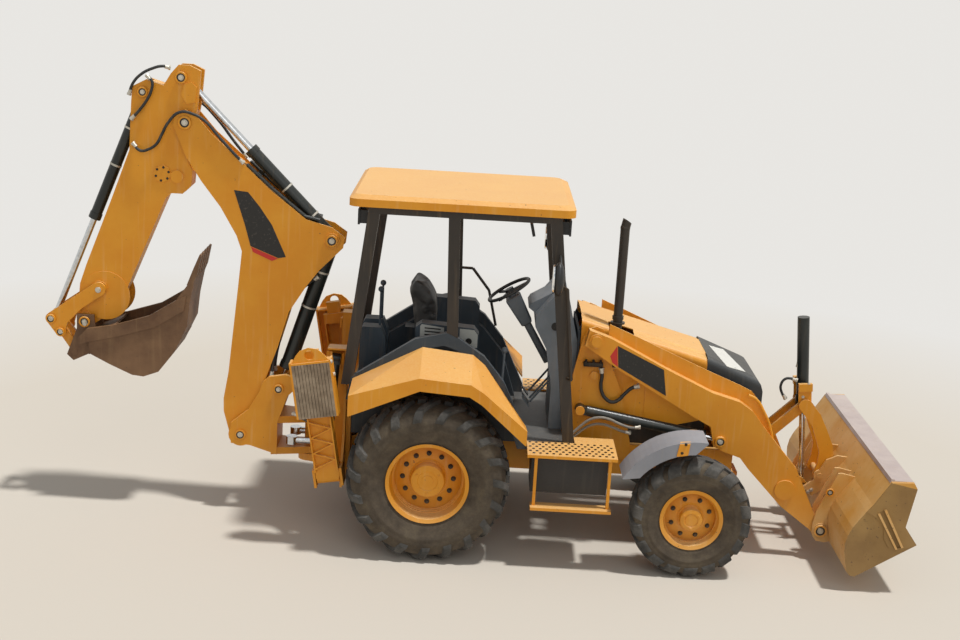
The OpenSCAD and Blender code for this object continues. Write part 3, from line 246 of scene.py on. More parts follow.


# Yellow enamel: deep on upright faces, cream where it faces the sky, which is settled dust and painted sunlight.
yellow_enamel = weathered("yellow_enamel", "#D98C0C", "#E0991E", "#E6C48C", 0.42, 0.6, 0.03, top_dust_and_sunlight=1.0)
paint_nodes(yellow_enamel, "main_frame", "backhoe_frame", "rear_fenders", "canopy_roof", "side_steps", "hood",
            "loader_arms", "tilt_levers", "tilt_links", "knuckle_left", "knuckle_right", "rear_rim_left",
            "rear_rim_right", "front_rim_left", "front_rim_right", "swing_casting", "boom", "stick",
            "idler_links", "coupler_link", "stabiliser_leg_left", "stabiliser_leg_right", "axles")

# Dark enamel: brown-black and half dull under dust.
dark_enamel = weathered("dark_enamel", "#231D17", "#32291F", "#8A7558", 0.4, 1.0)
paint_nodes(dark_enamel, "canopy_frame", "exhaust_stack", "engine_block")

# Moulded plastic of the nose: near black, evenly dull.
nose_plastic = weathered("moulded_nose_plastic", "#2A2D2E", "#3A3D3E", "#8C8272", 0.5, 1.0)
paint_nodes(nose_plastic, "hood_nose")

# Cylinder enamel: black and glossy, because oil keeps the dust off it.
cylinder_enamel = weathered("cylinder_enamel", "#141917", "#1F2523", "#6E604A", 0.28, 0.8, top_dust_and_sunlight=0.2)
paint_nodes(cylinder_enamel, "lift_barrels", "tilt_barrel", "boom_barrel", "stick_barrel", "dig_barrel",
            "stabiliser_barrel_left", "stabiliser_barrel_right", "swing_barrels", "boom_hoses")

# Bucket enamel: rubbed thin and pale by what the bucket carries, and paler where it faces the sky with dust and
# painted sunlight.
bucket_enamel = weathered("worn_bucket_enamel", "#D0922F", "#DCAE68", "#CDB28A", 0.5, 1.0, 0.06, top_dust_and_sunlight=0.7)
paint_nodes(bucket_enamel, "loader_bucket")

# Digging bucket: hardly any paint left, brown rust polished by earth.
dig_steel = weathered("scoured_bucket_steel", "#573A22", "#7E5E40", "#9C8058", 0.55, 1.2, 0.08)
paint_nodes(dig_steel, "digging_bucket")

# Front fenders: grey polyethylene, chalky and pale.
grey_moulding = weathered("grey_moulding", "#85878E", "#9698A0", "#A0957F", 0.6, 1.2)
paint_nodes(grey_moulding, "front_fender_left", "front_fender_right")

# Cab mouldings: blue-grey ABS with dust in its grain.
cab_plastic = weathered("cab_plastic", "#27333D", "#36424C", "#8A7D68", 0.5, 1.3)
paint_nodes(cab_plastic, "cab_body")

# Dash cowl: a paler grey moulding of the same plastic.
dash_plastic = weathered("dash_plastic", "#5E676E", "#747C83", "#9A8F7A", 0.55, 1.3)
paint_nodes(dash_plastic, "dash_console")

# Black plastic: handled parts, a little shiny from use.
black_plastic = weathered("black_plastic", "#17181A", "#232527", "#5A5246", 0.4, 0.5)
paint_nodes(black_plastic, "steering_wheel", "work_lamps", "operator_seat")


# Cylinder rods: hard chrome on ground steel, bright and smooth with faint rings from use.
chrome, tree, shader, place = new_material("hard_chrome")
streaks = add_node(tree, "ShaderNodeTexNoise", {"Vector": place, "Scale": 40.0, "Detail": 4.0})
tree.links.new(ramp(tree, streaks.outputs["Fac"], [(0.3, "#B9BDC0"), (0.7, "#DADDE0")]),
               shader.inputs["Base Color"])
shader.inputs["Metallic"].default_value = 1.0
shader.inputs["Roughness"].default_value = 0.18
paint_nodes(chrome, "lift_rods", "tilt_rod", "boom_rod", "stick_rod", "dig_rod", "swing_rod_left",
            "swing_rod_right", "stabiliser_rod_left", "stabiliser_rod_right")


# Tyres: black rubber greyed by dry earth, moulded with angled bars that wrap over the shoulders. The
# side walls carry two raised rings, and the beads sit on the rims.
def spot(x, y, z):
    """A place in millimetres: x forward of the rear axle, y to the left, z above the ground"""
    return Vector((REAR_AXLE_X + x / 1000, y / 1000, z / 1000))


def put(name, bm, materials, body, sharp_deg=35):
    """Makes a bmesh a piece that rides on a body, with its faces outwards"""
    bmesh.ops.recalc_face_normals(bm, faces=bm.faces)
    mesh = bpy.data.meshes.new(name)
    bm.to_mesh(mesh)
    bm.free()
    for material in materials:
        mesh.materials.append(material)
    mesh.shade_smooth()
    mesh.set_sharp_from_angle(angle=math.radians(sharp_deg))
    piece = bpy.data.objects.new(name, mesh)
    bpy.context.collection.objects.link(piece)
    if body:
        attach(piece, body)
    return piece


def earth_rubber(name, dark, middle, pale):
    """Rubber with dry earth rubbed into it in patches and grain"""
    material, tree, shader, place = new_material(name)
    earth = add_node(tree, "ShaderNodeTexNoise",
                     {"Vector": place, "Scale": 7.0, "Detail": 10.0, "Roughness": 0.72})
    tree.links.new(ramp(tree, earth.outputs["Fac"], [(0.3, dark), (0.5, middle), (0.72, pale)]),
                   shader.inputs["Base Color"])
    shader.inputs["Roughness"].default_value = 0.92
    bump = add_node(tree, "ShaderNodeBump",
                    {"Strength": 0.35, "Distance": 0.004, "Height": earth.outputs["Fac"]})
    tree.links.new(bump.outputs["Normal"], shader.inputs["Normal"])
    return material


wall_rubber = earth_rubber("tyre_wall_rubber", "#3A3228", "#4F4538", "#655A48")
tread_rubber = earth_rubber("tyre_tread_rubber", "#343331", "#4A4844", "#6C6862")
pad_rubber = earth_rubber("stabiliser_pad_rubber", "#6A5A48", "#8C7B66", "#B2A088")
paint_nodes(pad_rubber, "stabiliser_pad_left", "stabiliser_pad_right")
SPIN_STEPS = 96


def tyre_section(rim_r, r, w):
    """Half of the section mirrored: (across, radius) points from one bead to the other"""
    wall = r - rim_r
    half = [(0.36 * w, rim_r - 14), (0.45 * w, rim_r + 0.25 * wall), (0.5 * w, rim_r + 0.55 * wall),
            (0.48 * w, r - 0.16 * w), (0.4 * w, r - 0.05 * w), (0, r)]
    return half + [(-a, b) for a, b in reversed(half[:-1])]


def on_curve(points, t):
    """A point on a smooth curve through points, at t steps from the first"""
    i = min(int(t), len(points) - 2)
    f = t - i
    p0, p1, p2, p3 = (Vector(points[min(max(k, 0), len(points) - 1)]) for k in (i - 1, i, i + 1, i + 2))
    return p1 + 0.5 * f * (p2 - p0 + f * (2 * p0 - 5 * p1 + 4 * p2 - p3 + f * (3 * (p1 - p2) + p3 - p0)))


def turned(bm, centre, side, section, material=0):
    """Spins (across, radius) points in millimetres round a wheel's axle; across points away from the middle"""
    verts = [bm.verts.new(centre + Vector((0, side * a / 1000, r / 1000))) for a, r in section]
    edges = [bm.edges.new(pair) for pair in zip(verts, verts[1:] + verts[:1])]
    before = set(bm.faces)
    bmesh.ops.spin(bm, geom=verts + edges, cent=centre, axis=(0, 1, 0), dvec=(0, 0, 0), angle=2 * math.pi,
                   steps=SPIN_STEPS, use_merge=True, use_duplicate=False)
    for face in set(bm.faces) - before:
        face.material_index = material


def add_tread(bm, centre, side, inner, outer, count, wide, lean):
    """Angled bars between the carcass section and the outer section, in two rows set half a pitch apart"""
    middle = (len(outer) - 1) / 2
    for row in (-1, 1):
        for n in range(count):
            start = (n + row * 0.25) * 2 * math.pi / count
            grid = bmesh.ops.create_grid(bm, x_segments=9, y_segments=1, size=1)["verts"]
            faces = list({f for v in grid for f in v.link_faces})
            top = bmesh.ops.extrude_face_region(bm, geom=faces)["geom"]
            raised = {v for v in top if isinstance(v, bmesh.types.BMVert)}
            for v in raised | set(grid):
                out = (v.co.x + 1) / 2
                t = middle - row * (2.68 * out - 0.2)
                base = on_curve(inner, t)
                crest = on_curve(outer, t)
                across, radius = base.lerp(crest, 0.96 if v in raised else -0.6)
                taper = 1.0 if v in raised else 1.25
                turn = start + (v.co.y * wide * taper / 2 - lean * abs(across)) / (radius if radius > 0 else 1)
                v.co = centre + Vector((math.sin(turn) * radius, side * across, math.cos(turn) * radius)) / 1000
            for f in {f for v in raised | set(grid) for f in v.link_faces}:
                f.material_index = 1


WHEELS = (
    # kind, axle x, middle y, axle z, tyre radius, rim radius, width, bar height, bars, bar width, lean
    ("rear", 0, 857, 657, 657, 331, 495, 34, 19, 58, 0.62),
    ("front", 2100, 950, 487.5, 487.5, 251, 310, 22, 18, 96, 0.45),
)
for kind, x, y, z, r, rim_r, w, bar_h, bars, bar_w, lean in WHEELS:
    for hand, side in (("right", -1), ("left", 1)):
        centre = spot(x, side * y, z)
        inner = tyre_section(rim_r, r - bar_h, w - 2 * bar_h / 3)
        outer = tyre_section(rim_r, r, w)
        carcass = []
        for k in range(61):
            across, radius = on_curve(inner, k / 6)
            up_wall = (radius - rim_r) / (r - rim_r)
            ring = 5 if 0.36 < up_wall < 0.42 else 4 if 0.1 < up_wall < 0.16 else 0
            carcass.append((across + math.copysign(ring, across), radius))
        tyre_bm = bmesh.new()
        turned(tyre_bm, centre, side, carcass)
        add_tread(tyre_bm, centre, side, inner, outer, bars, bar_w, lean)
        tyre = put(f"{kind}_tyre_tread_{hand}", tyre_bm, [wall_rubber, tread_rubber],
                   f"{kind}_wheel_{hand}", 40)
        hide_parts(f"{kind}_tyre_{hand}")


# Wheel hubs and nuts: a painted drum closes each rim, with a ring of nuts on dark studs round it. The
# drum is a turned casting and the nuts are pressed on with plain washers.
dark_steel = weathered("oiled_steel", "#2C2722", "#453C32", "#7A6A54", 0.45, 1.0, metallic=0.6)


def add_stub(bm, sides, foot_mm, top_mm, tall_mm, matrix, material=0):
    """A closed drum or prism of two radii, its middle placed by the matrix"""
    made = bmesh.ops.create_cone(bm, cap_ends=True, cap_tris=False, segments=sides, radius1=foot_mm / 1000,
                                 radius2=top_mm / 1000, depth=tall_mm / 1000, matrix=matrix)
    for f in {f for v in made["verts"] for f in v.link_faces}:
        f.material_index = material


def add_bolt(bm, where, facing, head_mm, tall_mm, washer=1, head=0):
    """A six-sided head on a round washer; head_mm is the head's radius, washer and head are slots"""
    turn = facing.to_track_quat("Z", "Y").to_matrix().to_4x4()
    for radius, tall, sides, material in ((1.5 * head_mm, 0.3 * tall_mm, 24, washer),
                                          (head_mm, tall_mm, 6, head)):
        middle = Matrix.Translation(where + facing * (tall / 2000))
        add_stub(bm, sides, radius, 0.92 * radius, tall, middle @ turn, material)


HUBS = (
    # kind, axle x, middle y, axle z, disc, nut circle, nuts, nut radius, drum radius, drum face, (radius, y) of
    # the ridges rolled into the rim, first nut's turn in degrees
    ("rear", 0, 857, 657, 40, 203, 12, 14, 136, 132, ((286, 78), (281, 50), (276, 24)), 90),
    ("front", 2100, 950, 487.5, 50, 156, 8, 13, 92, 124, ((209, 56),), 110),
)
for kind, x, y, z, dish, nut_ring, nuts, nut_r, hub_r, hub_out, ridges, first in HUBS:
    for hand, side in (("right", -1), ("left", 1)):
        centre = spot(x, side * y, z)
        hub_bm = bmesh.new()
        turned(hub_bm, centre, side, [
            (dish - 20, 36), (dish - 20, hub_r + 14), (dish + 6, hub_r + 12), (dish + 14, hub_r + 2),
            (hub_out - 16, hub_r), (hub_out - 5, hub_r - 5), (hub_out, hub_r - 14),
            (hub_out, 0.6 * hub_r), (hub_out - 5, 0.56 * hub_r), (hub_out - 5, 36)])
        cap_place = Matrix.Translation(centre + Vector((0, side * (hub_out - 12) / 1000, 0)))
        add_stub(hub_bm, 48, 50, 47, 20, cap_place @ Matrix.Rotation(-side * math.pi / 2, 4, "X"))
        for r, at in ridges:
            turned(hub_bm, centre, side, [(at - 9, r + 3), (at - 5, r - 6), (at + 5, r - 6), (at + 9, r + 3)])
        out = Vector((0, side, 0))
        for n in range(3):
            a = math.radians(30 + 120 * n)
            plug = Vector((0.75 * hub_r * math.cos(a), side * hub_out, 0.75 * hub_r * math.sin(a)))
            add_bolt(hub_bm, centre + plug / 1000, out, 8, 7, 0, 0)
        put(f"{kind}_hub_{hand}", hub_bm, [yellow_enamel], f"{kind}_wheel_{hand}")
        nut_bm = bmesh.new()
        for n in range(nuts):
            a = math.radians(first + 360 * n / nuts)
            where = centre + Vector((nut_ring * math.cos(a), side * (dish - 8), nut_ring * math.sin(a))) / 1000
            add_bolt(nut_bm, where, out, nut_r, 22, 0, 0)
        put(f"{kind}_wheel_nuts_{hand}", nut_bm, [dark_steel], f"{kind}_wheel_{hand}")


# Marks: printed film on the lift arms and the boom, black with a red end and no words on them. The film
# is thin and satin, and stands just proud of the paint.
def film(name, colour):
    """Printed film: an even colour with fine scuffs"""
    material, tree, shader, place = new_material(name)
    scuffs = add_node(tree, "ShaderNodeTexNoise",
                      {"Vector": place, "Scale": 45.0, "Detail": 6.0}).outputs["Fac"]
    tree.links.new(ramp(tree, scuffs, [(0.6, colour), (0.95, "#6A6258")]), shader.inputs["Base Color"])
    shader.inputs["Roughness"].default_value = 0.35
    return material


black_print_and_shade = film("black_print_and_shade", "#161514")
red_film = film("red_film", "#C4271C")
blank_plate = film("pale_blank_plate", "#D9D6CC")
FILM_MM = 1.2


def add_flat(bm, outline, out_mm, thick_mm, material, sides=(-1, 1)):
    """A flat plate on upright faces out_mm from the middle; outline is (x, z) in millimetres"""
    for side in sides:
        verts = [bm.verts.new(spot(x, side * out_mm, z)) for x, z in outline]
        face = bm.faces.new(verts)
        made = bmesh.ops.extrude_face_region(bm, geom=[face])["geom"]
        raised = [v for v in made if isinstance(v, bmesh.types.BMVert)]
        bmesh.ops.translate(bm, verts=raised, vec=(0, side * thick_mm / 1000, 0))
        for f in {f for v in raised + verts for f in v.link_faces}:
            f.material_index = material


ARM_FACE = 530
BOOM_FACE = 120
marks_bm = bmesh.new()
add_flat(marks_bm, [(1464, 1734), (1851, 1556), (1886, 1338), (1480, 1558)], ARM_FACE + 0.2, FILM_MM, 0)
add_flat(marks_bm, [(1460, 1733), (1476, 1560), (1430, 1592), (1408, 1645)], ARM_FACE + 0.2, FILM_MM, 1)
put("arm_marks", marks_bm, [black_print_and_shade, red_film], "loader_arms")
marks_bm = bmesh.new()
add_flat(marks_bm, [(-1715, 2751), (-1601, 2741), (-1501, 2623), (-1400, 2480), (-1279, 2219),
                    (-1342, 2206), (-1572, 2294), (-1621, 2467)], BOOM_FACE + 0.2, FILM_MM, 0)
add_flat(marks_bm, [(-1568, 2288), (-1344, 2202), (-1393, 2179), (-1551, 2245)], BOOM_FACE + 0.2, FILM_MM, 1)
put("boom_marks", marks_bm, [black_print_and_shade, red_film], "boom")


# Fasteners and plates found on the photograph: each is set where the camera sees it on its own part,
# and once more on the far side. Zinc-plated bolts and washers, pressed plates.
zinc = weathered("zinc_plate", "#B8B4A8", "#D2CDC0", "#A89878", 0.35, 0.8, metallic=0.5)
surfaces = {}


def seen_on(node, px, py):
    """Where the line of sight through a pixel meets a CAD node, and the way its surface faces"""
    if node not in surfaces:
        mesh = nodes[node].data
        surfaces[node] = BVHTree.FromPolygons([v.co for v in mesh.vertices],
                                              [list(p.vertices) for p in mesh.polygons])
    sight = (camera_right * (px - IMAGE_W / 2) - camera_up * (py - IMAGE_H / 2)) / FOCAL_PX - camera_back
    hit, facing, _, _ = surfaces[node].ray_cast(camera_place, sight.normalized())
    if hit is None:
        reach = (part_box(node)[0].y - camera_place.y) / sight.y
        hit, facing, _, _ = surfaces[node].find_nearest(camera_place + sight * reach)
    return hit, facing if facing.dot(sight) < 0 else -facing


BOLTS = (
    # name, node, body, head radius, height, pixels
    ("arm_pin_caps", "loader_arms", "loader_arms", 17, 12, [(719, 441)]),
    ("bucket_side_bolts", "loader_bucket", "loader_bucket", 12, 12, [(811, 490), (808, 492), (819, 529)]),
    ("stick_pin_nuts", "stick", "stick", 17, 14, [(98, 290)]),
    ("idler_pin_nuts", "idler_links", "idler_links", 16, 14, [(51, 318), (61, 331)]),
    ("bucket_ear_nuts", "digging_bucket", "digging_bucket", 16, 14, [(85, 324)]),
    ("swing_ring_bolts", "swing_casting", "swing_casting", 14, 12, [(240.5, 434.7), (278, 390)]),
    ("leg_plate_bolts", "stabiliser_leg_right", "stabiliser_leg_right", 13, 12, [(334, 361), (334, 374)]),
    ("tilt_block_bolts", "tilt_barrel", "tilt_barrel", 9, 10, [(803, 397), (809, 384)]),
)
for name, node, body, head_r, head_h, pixels in BOLTS:
    bolts_bm = bmesh.new()
    for px, py in pixels:
        where, facing = seen_on(node, px, py)
        for side in ((1, -1) if not body.endswith("right") else (1,)):
            flip = Vector((1, side, 1))
            add_bolt(bolts_bm, where * flip, facing * flip, head_r, head_h)
    put(name, bolts_bm, [zinc, zinc], body)


def add_patch(bm, node, corners, cells, gap_mm, thick_mm, material=0, sides=(1, -1)):
    """A plate that lies on a node's surface inside four pixels, given in order round it"""
    (ax, ay), (bx, by), (cx, cy), (dx, dy) = corners
    for side in sides:
        grid = bmesh.ops.create_grid(bm, x_segments=cells, y_segments=cells, size=1)["verts"]
        facings = {}
        for v in grid:
            s, t = (v.co.x + 1) / 2, (v.co.y + 1) / 2
            px = (1 - t) * ((1 - s) * ax + s * bx) + t * ((1 - s) * dx + s * cx)
            py = (1 - t) * ((1 - s) * ay + s * by) + t * ((1 - s) * dy + s * cy)
            where, facing = seen_on(node, px, py)
            facings[v] = facing * Vector((1, side, 1))
            v.co = where * Vector((1, side, 1)) + facings[v] * gap_mm / 1000
        faces = list({f for v in grid for f in v.link_faces})
        mean = sum(facings.values(), Vector()) / len(facings)
        made = bmesh.ops.extrude_face_region(bm, geom=faces)["geom"]
        raised = [v for v in made if isinstance(v, bmesh.types.BMVert)]
        bmesh.ops.translate(bm, verts=raised, vec=mean.normalized() * thick_mm / 1000)
        for f in {f for v in raised + grid for f in v.link_faces}:
            f.material_index = material


STRAP_MM = 6
for hand, side in (("right", 1), ("left", -1)):
    strap_bm = bmesh.new()
    add_patch(strap_bm, "front_fender_right", [(676.5, 456.5), (680.5, 441.8), (691, 441.8), (688, 456.5)],
              6, 1.0, STRAP_MM, sides=(side,))
    for px, py in ((686, 444.5), (682, 453)):
        where, facing = seen_on("front_fender_right", px, py)
        flip = Vector((1, side, 1))
        add_bolt(strap_bm, (where + facing * (STRAP_MM + 1) / 1000) * flip, facing * flip, 8, 6, 1, 1)
    put(f"fender_strap_{hand}", strap_bm, [yellow_enamel, dark_steel], f"knuckle_{hand}")

plate_bm = bmesh.new()
add_patch(plate_bm, "hood_nose", [(708.7, 345.4), (723, 349.4), (745.5, 372), (727, 366.6)],
          8, 0.5, 1.5, sides=(1,))
put("nose_plate", plate_bm, [blank_plate], "hood")
plate_bm = bmesh.new()
add_flat(plate_bm, [(3632, 881), (3754, 911), (3754, 824), (3644, 823)], 1171, 2, 0)
put("bucket_plates", plate_bm, [blank_plate], "loader_bucket")


# Pins: each joint of the arms turns on a steel pin under a painted collar, with a ring of old grease
# round it and a flat nut in the middle. The collars are turned and welded to the plates.
grease = weathered("old_grease", "#1C1712", "#33291D", "#5E4D38", 0.3, 0.5)


def face_at(node, x, z, side):
    """How far from the middle, in millimetres, a node's outer face stands at a side-view place"""
    seen_on(node, 0, 0)
    hit, _, _, _ = surfaces[node].ray_cast(spot(x, side * 3000, z), Vector((0, -side, 0)))
    return abs(hit.y) * 1000 if hit else 0


PINS = (
    # name, node and body, x, z, collar radius, how far it stands out as a share of a full collar
    ("boom_ear_pin", "boom", -905, 2377, 50, 1),
    ("stick_pivot_pin", "boom", -2120, 3276, 54, 1),
    ("stick_top_pin", "stick", -2156, 3632, 48, 1),
    ("dig_base_pin", "stick", -2465, 3500, 42, 1),
    ("idler_pin", "idler_links", -2819, 1860, 44, 1),
    ("idler_end_pin", "idler_links", -3214, 1589, 40, 1),
    ("idler_knee_pin", "idler_links", -3137, 1481, 36, 1),
    ("dig_hinge_pin", "digging_bucket", -2935, 1580, 46, 1),
    ("boom_foot_pin", "swing_casting", -1620, 680, 46, 0.3),
    ("casting_pin", "swing_casting", -1305, 1100, 42, 1),
    ("lift_pin", "loader_arms", 2360, 980, 44, 1),
    ("hinge_pin", "loader_bucket", 3255, 263, 54, 1),
    ("link_pin", "loader_bucket", 3300, 600, 34, 1),
)
for name, node, x, z, collar, proud in PINS:
    pin_bm = bmesh.new()
    for side in (-1, 1):
        face_mm = face_at(node, x, z, side)
        foot = face_mm + 0.2
        collar_section = [(foot, 0.72), (foot, 1), (face_mm + 7 * proud, 1), (face_mm + 10 * proud, 0.95),
                          (face_mm + 10 * proud, 0.72)]
        grease_section = [(foot, 0.4), (foot, 0.71), (face_mm + 4 * proud, 0.71), (face_mm + 4 * proud, 0.4)]
        for slot, section in enumerate((collar_section, grease_section)):
            turned(pin_bm, spot(x, 0, z), side, [(out, share * collar) for out, share in section], slot)
        add_bolt(pin_bm, spot(x, side * (face_mm + 1), z), Vector((0, side, 0)), 0.34 * collar,
                 13 * proud, 2, 2)
    put(name, pin_bm, [yellow_enamel, grease, zinc], node)

# Inspection cover on each side of the stick: an eight-sided plate on six bolts.
COVER_X = -2305
COVER_Z = 2845
COVER_MM = 8
cover_bm = bmesh.new()
for side in (-1, 1):
    plate_y = face_at("stick", COVER_X, COVER_Z, side)
    middle = Matrix.Translation(spot(COVER_X, side * (plate_y + COVER_MM / 2 + 0.2), COVER_Z))
    add_stub(cover_bm, 8, 75, 73, COVER_MM, middle @ Matrix.Rotation(math.pi / 2, 4, "X"))
    for n in range(6):
        a = math.radians(60 * n + 20)
        where = spot(COVER_X + 55 * math.cos(a), side * (plate_y + COVER_MM), COVER_Z + 55 * math.sin(a))
        add_bolt(cover_bm, where, Vector((0, side, 0)), 7, 7, 1, 1)
put("stick_covers", cover_bm, [yellow_enamel, dark_steel], "stick")


# Cylinder bands: pressed steel clamps round the black barrels, a few millimetres proud of them. The oil
# pipes lie under them.
def add_band(bm, base, tip, along_mm, radius_mm):
    """A clamp band round a cylinder whose axis runs from base to tip, both (x, z) in millimetres"""
    start, end = spot(base[0], 0, base[1]), spot(tip[0], 0, tip[1])
    axis = (end - start).normalized()
    across = Vector((0, 1, 0))
    middle = start + axis * along_mm / 1000
    inner, outer = radius_mm - 1, radius_mm + 3
    verts = [bm.verts.new(middle + axis * along / 1000 + across * out / 1000)
             for along, out in ((-8, inner), (-8, outer), (8, outer), (8, inner))]
    edges = [bm.edges.new(pair) for pair in zip(verts, verts[1:] + verts[:1])]
    bmesh.ops.spin(bm, geom=verts + edges, cent=middle, axis=axis, dvec=(0, 0, 0), angle=2 * math.pi,
                   steps=48, use_merge=True)


BANDS = (
    # body, base pin, tip pin, places along the barrel, barrel radius
    ("stick_barrel", (-905, 2377), (-2156, 3632), (250, 560), 54),
    ("dig_barrel", (-2465, 3500), (-3214, 1589), (330, 660), 46),
    ("boom_barrel", (-905, 2377), (-1305, 1100), (300, 620), 64),
)
for body, base, tip, places, radius in BANDS:
    band_bm = bmesh.new()
    for along in places:
        add_band(band_bm, base, tip, along, radius)
    put(f"{body}_bands", band_bm, [zinc], body)


# Column shroud: a moulded two-part cover round the steering column, wider under the wheel.
COLUMN_LEAN = math.radians(31)
BELOW_WHEEL = 195
shroud_bm = bmesh.new()
made = bmesh.ops.create_cube(shroud_bm, size=1.0)
for v in made["verts"]:
    high = v.co.z > 0
    v.co = Vector((v.co.x * (0.135 if high else 0.095), v.co.y * (0.15 if high else 0.1), v.co.z * 0.27))
bmesh.ops.subdivide_edges(shroud_bm, edges=list(shroud_bm.edges), cuts=2, use_grid_fill=True)
bmesh.ops.bevel(shroud_bm, geom=[e for e in shroud_bm.edges if e.calc_face_angle(0) > 0.6], offset=0.018,
                segments=3, affect="EDGES", profile=0.5, material=-1)
middle = spot(574 + BELOW_WHEEL * math.sin(COLUMN_LEAN), 0, 2025 - BELOW_WHEEL * math.cos(COLUMN_LEAN))
bmesh.ops.transform(shroud_bm, verts=shroud_bm.verts,
                    matrix=Matrix.Translation(middle) @ Matrix.Rotation(-COLUMN_LEAN, 4, "Y"))
put("column_shroud", shroud_bm, [dash_plastic], "root")


# Console plates: on each side console, a pale pressed plate with three vents, drawn as black strips of
# painted shade, and one with a round port.
# The dash has a round black plug on each side.
console_bm = bmesh.new()
CONSOLE_FACE = 545
PLATE_FACE = CONSOLE_FACE + 3.4
add_flat(console_bm, [(-132, 1655), (64, 1655), (60, 1806), (-120, 1826), (-132, 1810)],
         CONSOLE_FACE + 0.3, 3, 0)
# Each vent is a black strip on the plate: painted shade of the slot.
for row in range(3):
    low = 1733 + 27 * row
    add_flat(console_bm, [(-96, low + 5), (34, low), (34, low + 11), (-96, low + 16)], PLATE_FACE, 1, 1)
add_flat(console_bm, [(186, 1655), (332, 1655), (332, 1764), (304, 1800), (186, 1806)],
         CONSOLE_FACE + 0.3, 3, 0)
for x, z, ring_r, face_mm, tall in ((262, 1706, 26, PLATE_FACE, 1.6), (963, 1814, 34, 330.3, 1.7)):
    port = [(face_mm, 0.4), (face_mm, ring_r), (face_mm + tall, ring_r), (face_mm + tall, 0.4)]
    for side in (-1, 1):
        turned(console_bm, spot(x, 0, z), side, port, 1)
pale_panel = weathered("pale_console_plate", "#9DA09C", "#B2B3AC", "#A89C84", 0.5, 1.0)
put("console_plates", console_bm, [pale_panel, black_print_and_shade], "root")


# Hoses and pipes: steel-braided rubber with a crimped sleeve at each end, bent between the parts that
# they join. The straight bundles on the boom are in the frame already.
hose_rubber = weathered("hose_rubber", "#1B1C1C", "#2C2D2C", "#8C8474", 0.5, 1.3)
hose_grey = weathered("dusty_hose_rubber", "#6A6862", "#8C8880", "#A59B88", 0.6, 1.3)
SLEEVE_MM = 45


def add_round(bm, name, path, radius_mm):
    """A round rod or hose swept along a smooth curve through the path's places"""
    curve = bpy.data.curves.new(name, "CURVE")
    curve.dimensions = "3D"
    curve.bevel_depth = radius_mm / 1000
    curve.bevel_resolution = 3
    curve.resolution_u = 6
    curve.use_fill_caps = True
    spline = curve.splines.new("BEZIER")
    spline.bezier_points.add(len(path) - 1)
    for knot, where in zip(spline.bezier_points, path):
        knot.co = where
        knot.handle_left_type = knot.handle_right_type = "AUTO"
    bm.from_mesh(bpy.data.meshes.new_from_object(bpy.data.objects.new(name + "_path", curve)))


def hose(name, points, radius_mm, body, rubber=None, joined=None, mirror=False):
    """A hose through (x, y, z) millimetres; joined = (the other body, start and end of the bend), which are not
    used: a joined hose rides on no body
    """
    hose_bm = bmesh.new()
    for side in ((1, -1) if mirror else (1,)):
        path = [spot(x, side * y, z) for x, y, z in points]
        add_round(hose_bm, name, path, radius_mm)
        for end, towards in ((path[0], path[1]), (path[-1], path[-2])):
            facing = (towards - end).normalized()
            turn = facing.to_track_quat("Z", "Y").to_matrix().to_4x4()
            for radius, long, sides in ((1.35 * radius_mm, SLEEVE_MM, 20),
                                        (1.7 * radius_mm, 0.35 * SLEEVE_MM, 6)):
                middle = Matrix.Translation(end + facing * long / 2000)
                add_stub(hose_bm, sides, radius, 0.94 * radius, long, middle @ turn, 1)
    bmesh.ops.remove_doubles(hose_bm, verts=hose_bm.verts, dist=1e-6)
    piece = put(name, hose_bm, [rubber or hose_rubber, zinc], None if joined else body, 50)
    if joined:
        other, start, end = joined
        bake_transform(piece)
    return piece


hose("stick_hose_low",
     [(-1640, -120, 2975), (-1712, -132, 3045), (-1835, -135, 3172), (-1963, -135, 3305), (-2052, -135, 3350),
      (-2157, -135, 3359), (-2253, -135, 3266), (-2300, -135, 3175), (-2345, -134, 3091), (-2405, -132, 3047),
      (-2478, -125, 3030), (-2543, -112, 3088)],
     12, "boom", joined=("stick", (-1900, 0, 3250), (-2350, 0, 3150)))
hose("stick_hose_high",
     [(-1650, 120, 2985), (-1760, 132, 3110), (-1905, 134, 3290), (-2060, 134, 3430), (-2215, 134, 3480),
      (-2345, 130, 3400), (-2420, 122, 3300), (-2470, 110, 3270)],
     12, "boom", joined=("stick", (-1900, 0, 3250), (-2350, 0, 3150)))
hose("dig_hose_side",
     [(-2432, -104, 3637), (-2384, -120, 3588), (-2388, -124, 3521), (-2420, -124, 3447), (-2484, -120, 3356),
      (-2555, -108, 3275)], 12, "stick")
hose("dig_hose_top",
     [(-2250, -60, 3700), (-2307, -80, 3712), (-2388, -96, 3690), (-2476, -104, 3640), (-2541, -104, 3565),
      (-2575, -100, 3470)], 12, "stick")
hose("arm_hose",
     [(1352, -462, 1525), (1362, -462, 1455), (1358, -462, 1385), (1374, -462, 1312), (1412, -462, 1262),
      (1462, -462, 1240), (1512, -462, 1262), (1560, -462, 1318), (1612, -462, 1368), (1672, -462, 1392)],
     15, "root", joined=("loader_arms", (1360, 0, 1300), (1660, 0, 1400)), mirror=True)
hose("lift_hose_upper",
     [(1120, -565, 960), (1160, -565, 1000), (1215, -562, 1056), (1275, -560, 1105), (1345, -558, 1130),
      (1430, -556, 1124), (1530, -552, 1084), (1630, -546, 1056), (1700, -538, 1062)],
     11, "root", rubber=hose_grey, joined=("lift_barrels", (1200, 0, 1100), (1560, 0, 1080)), mirror=True)
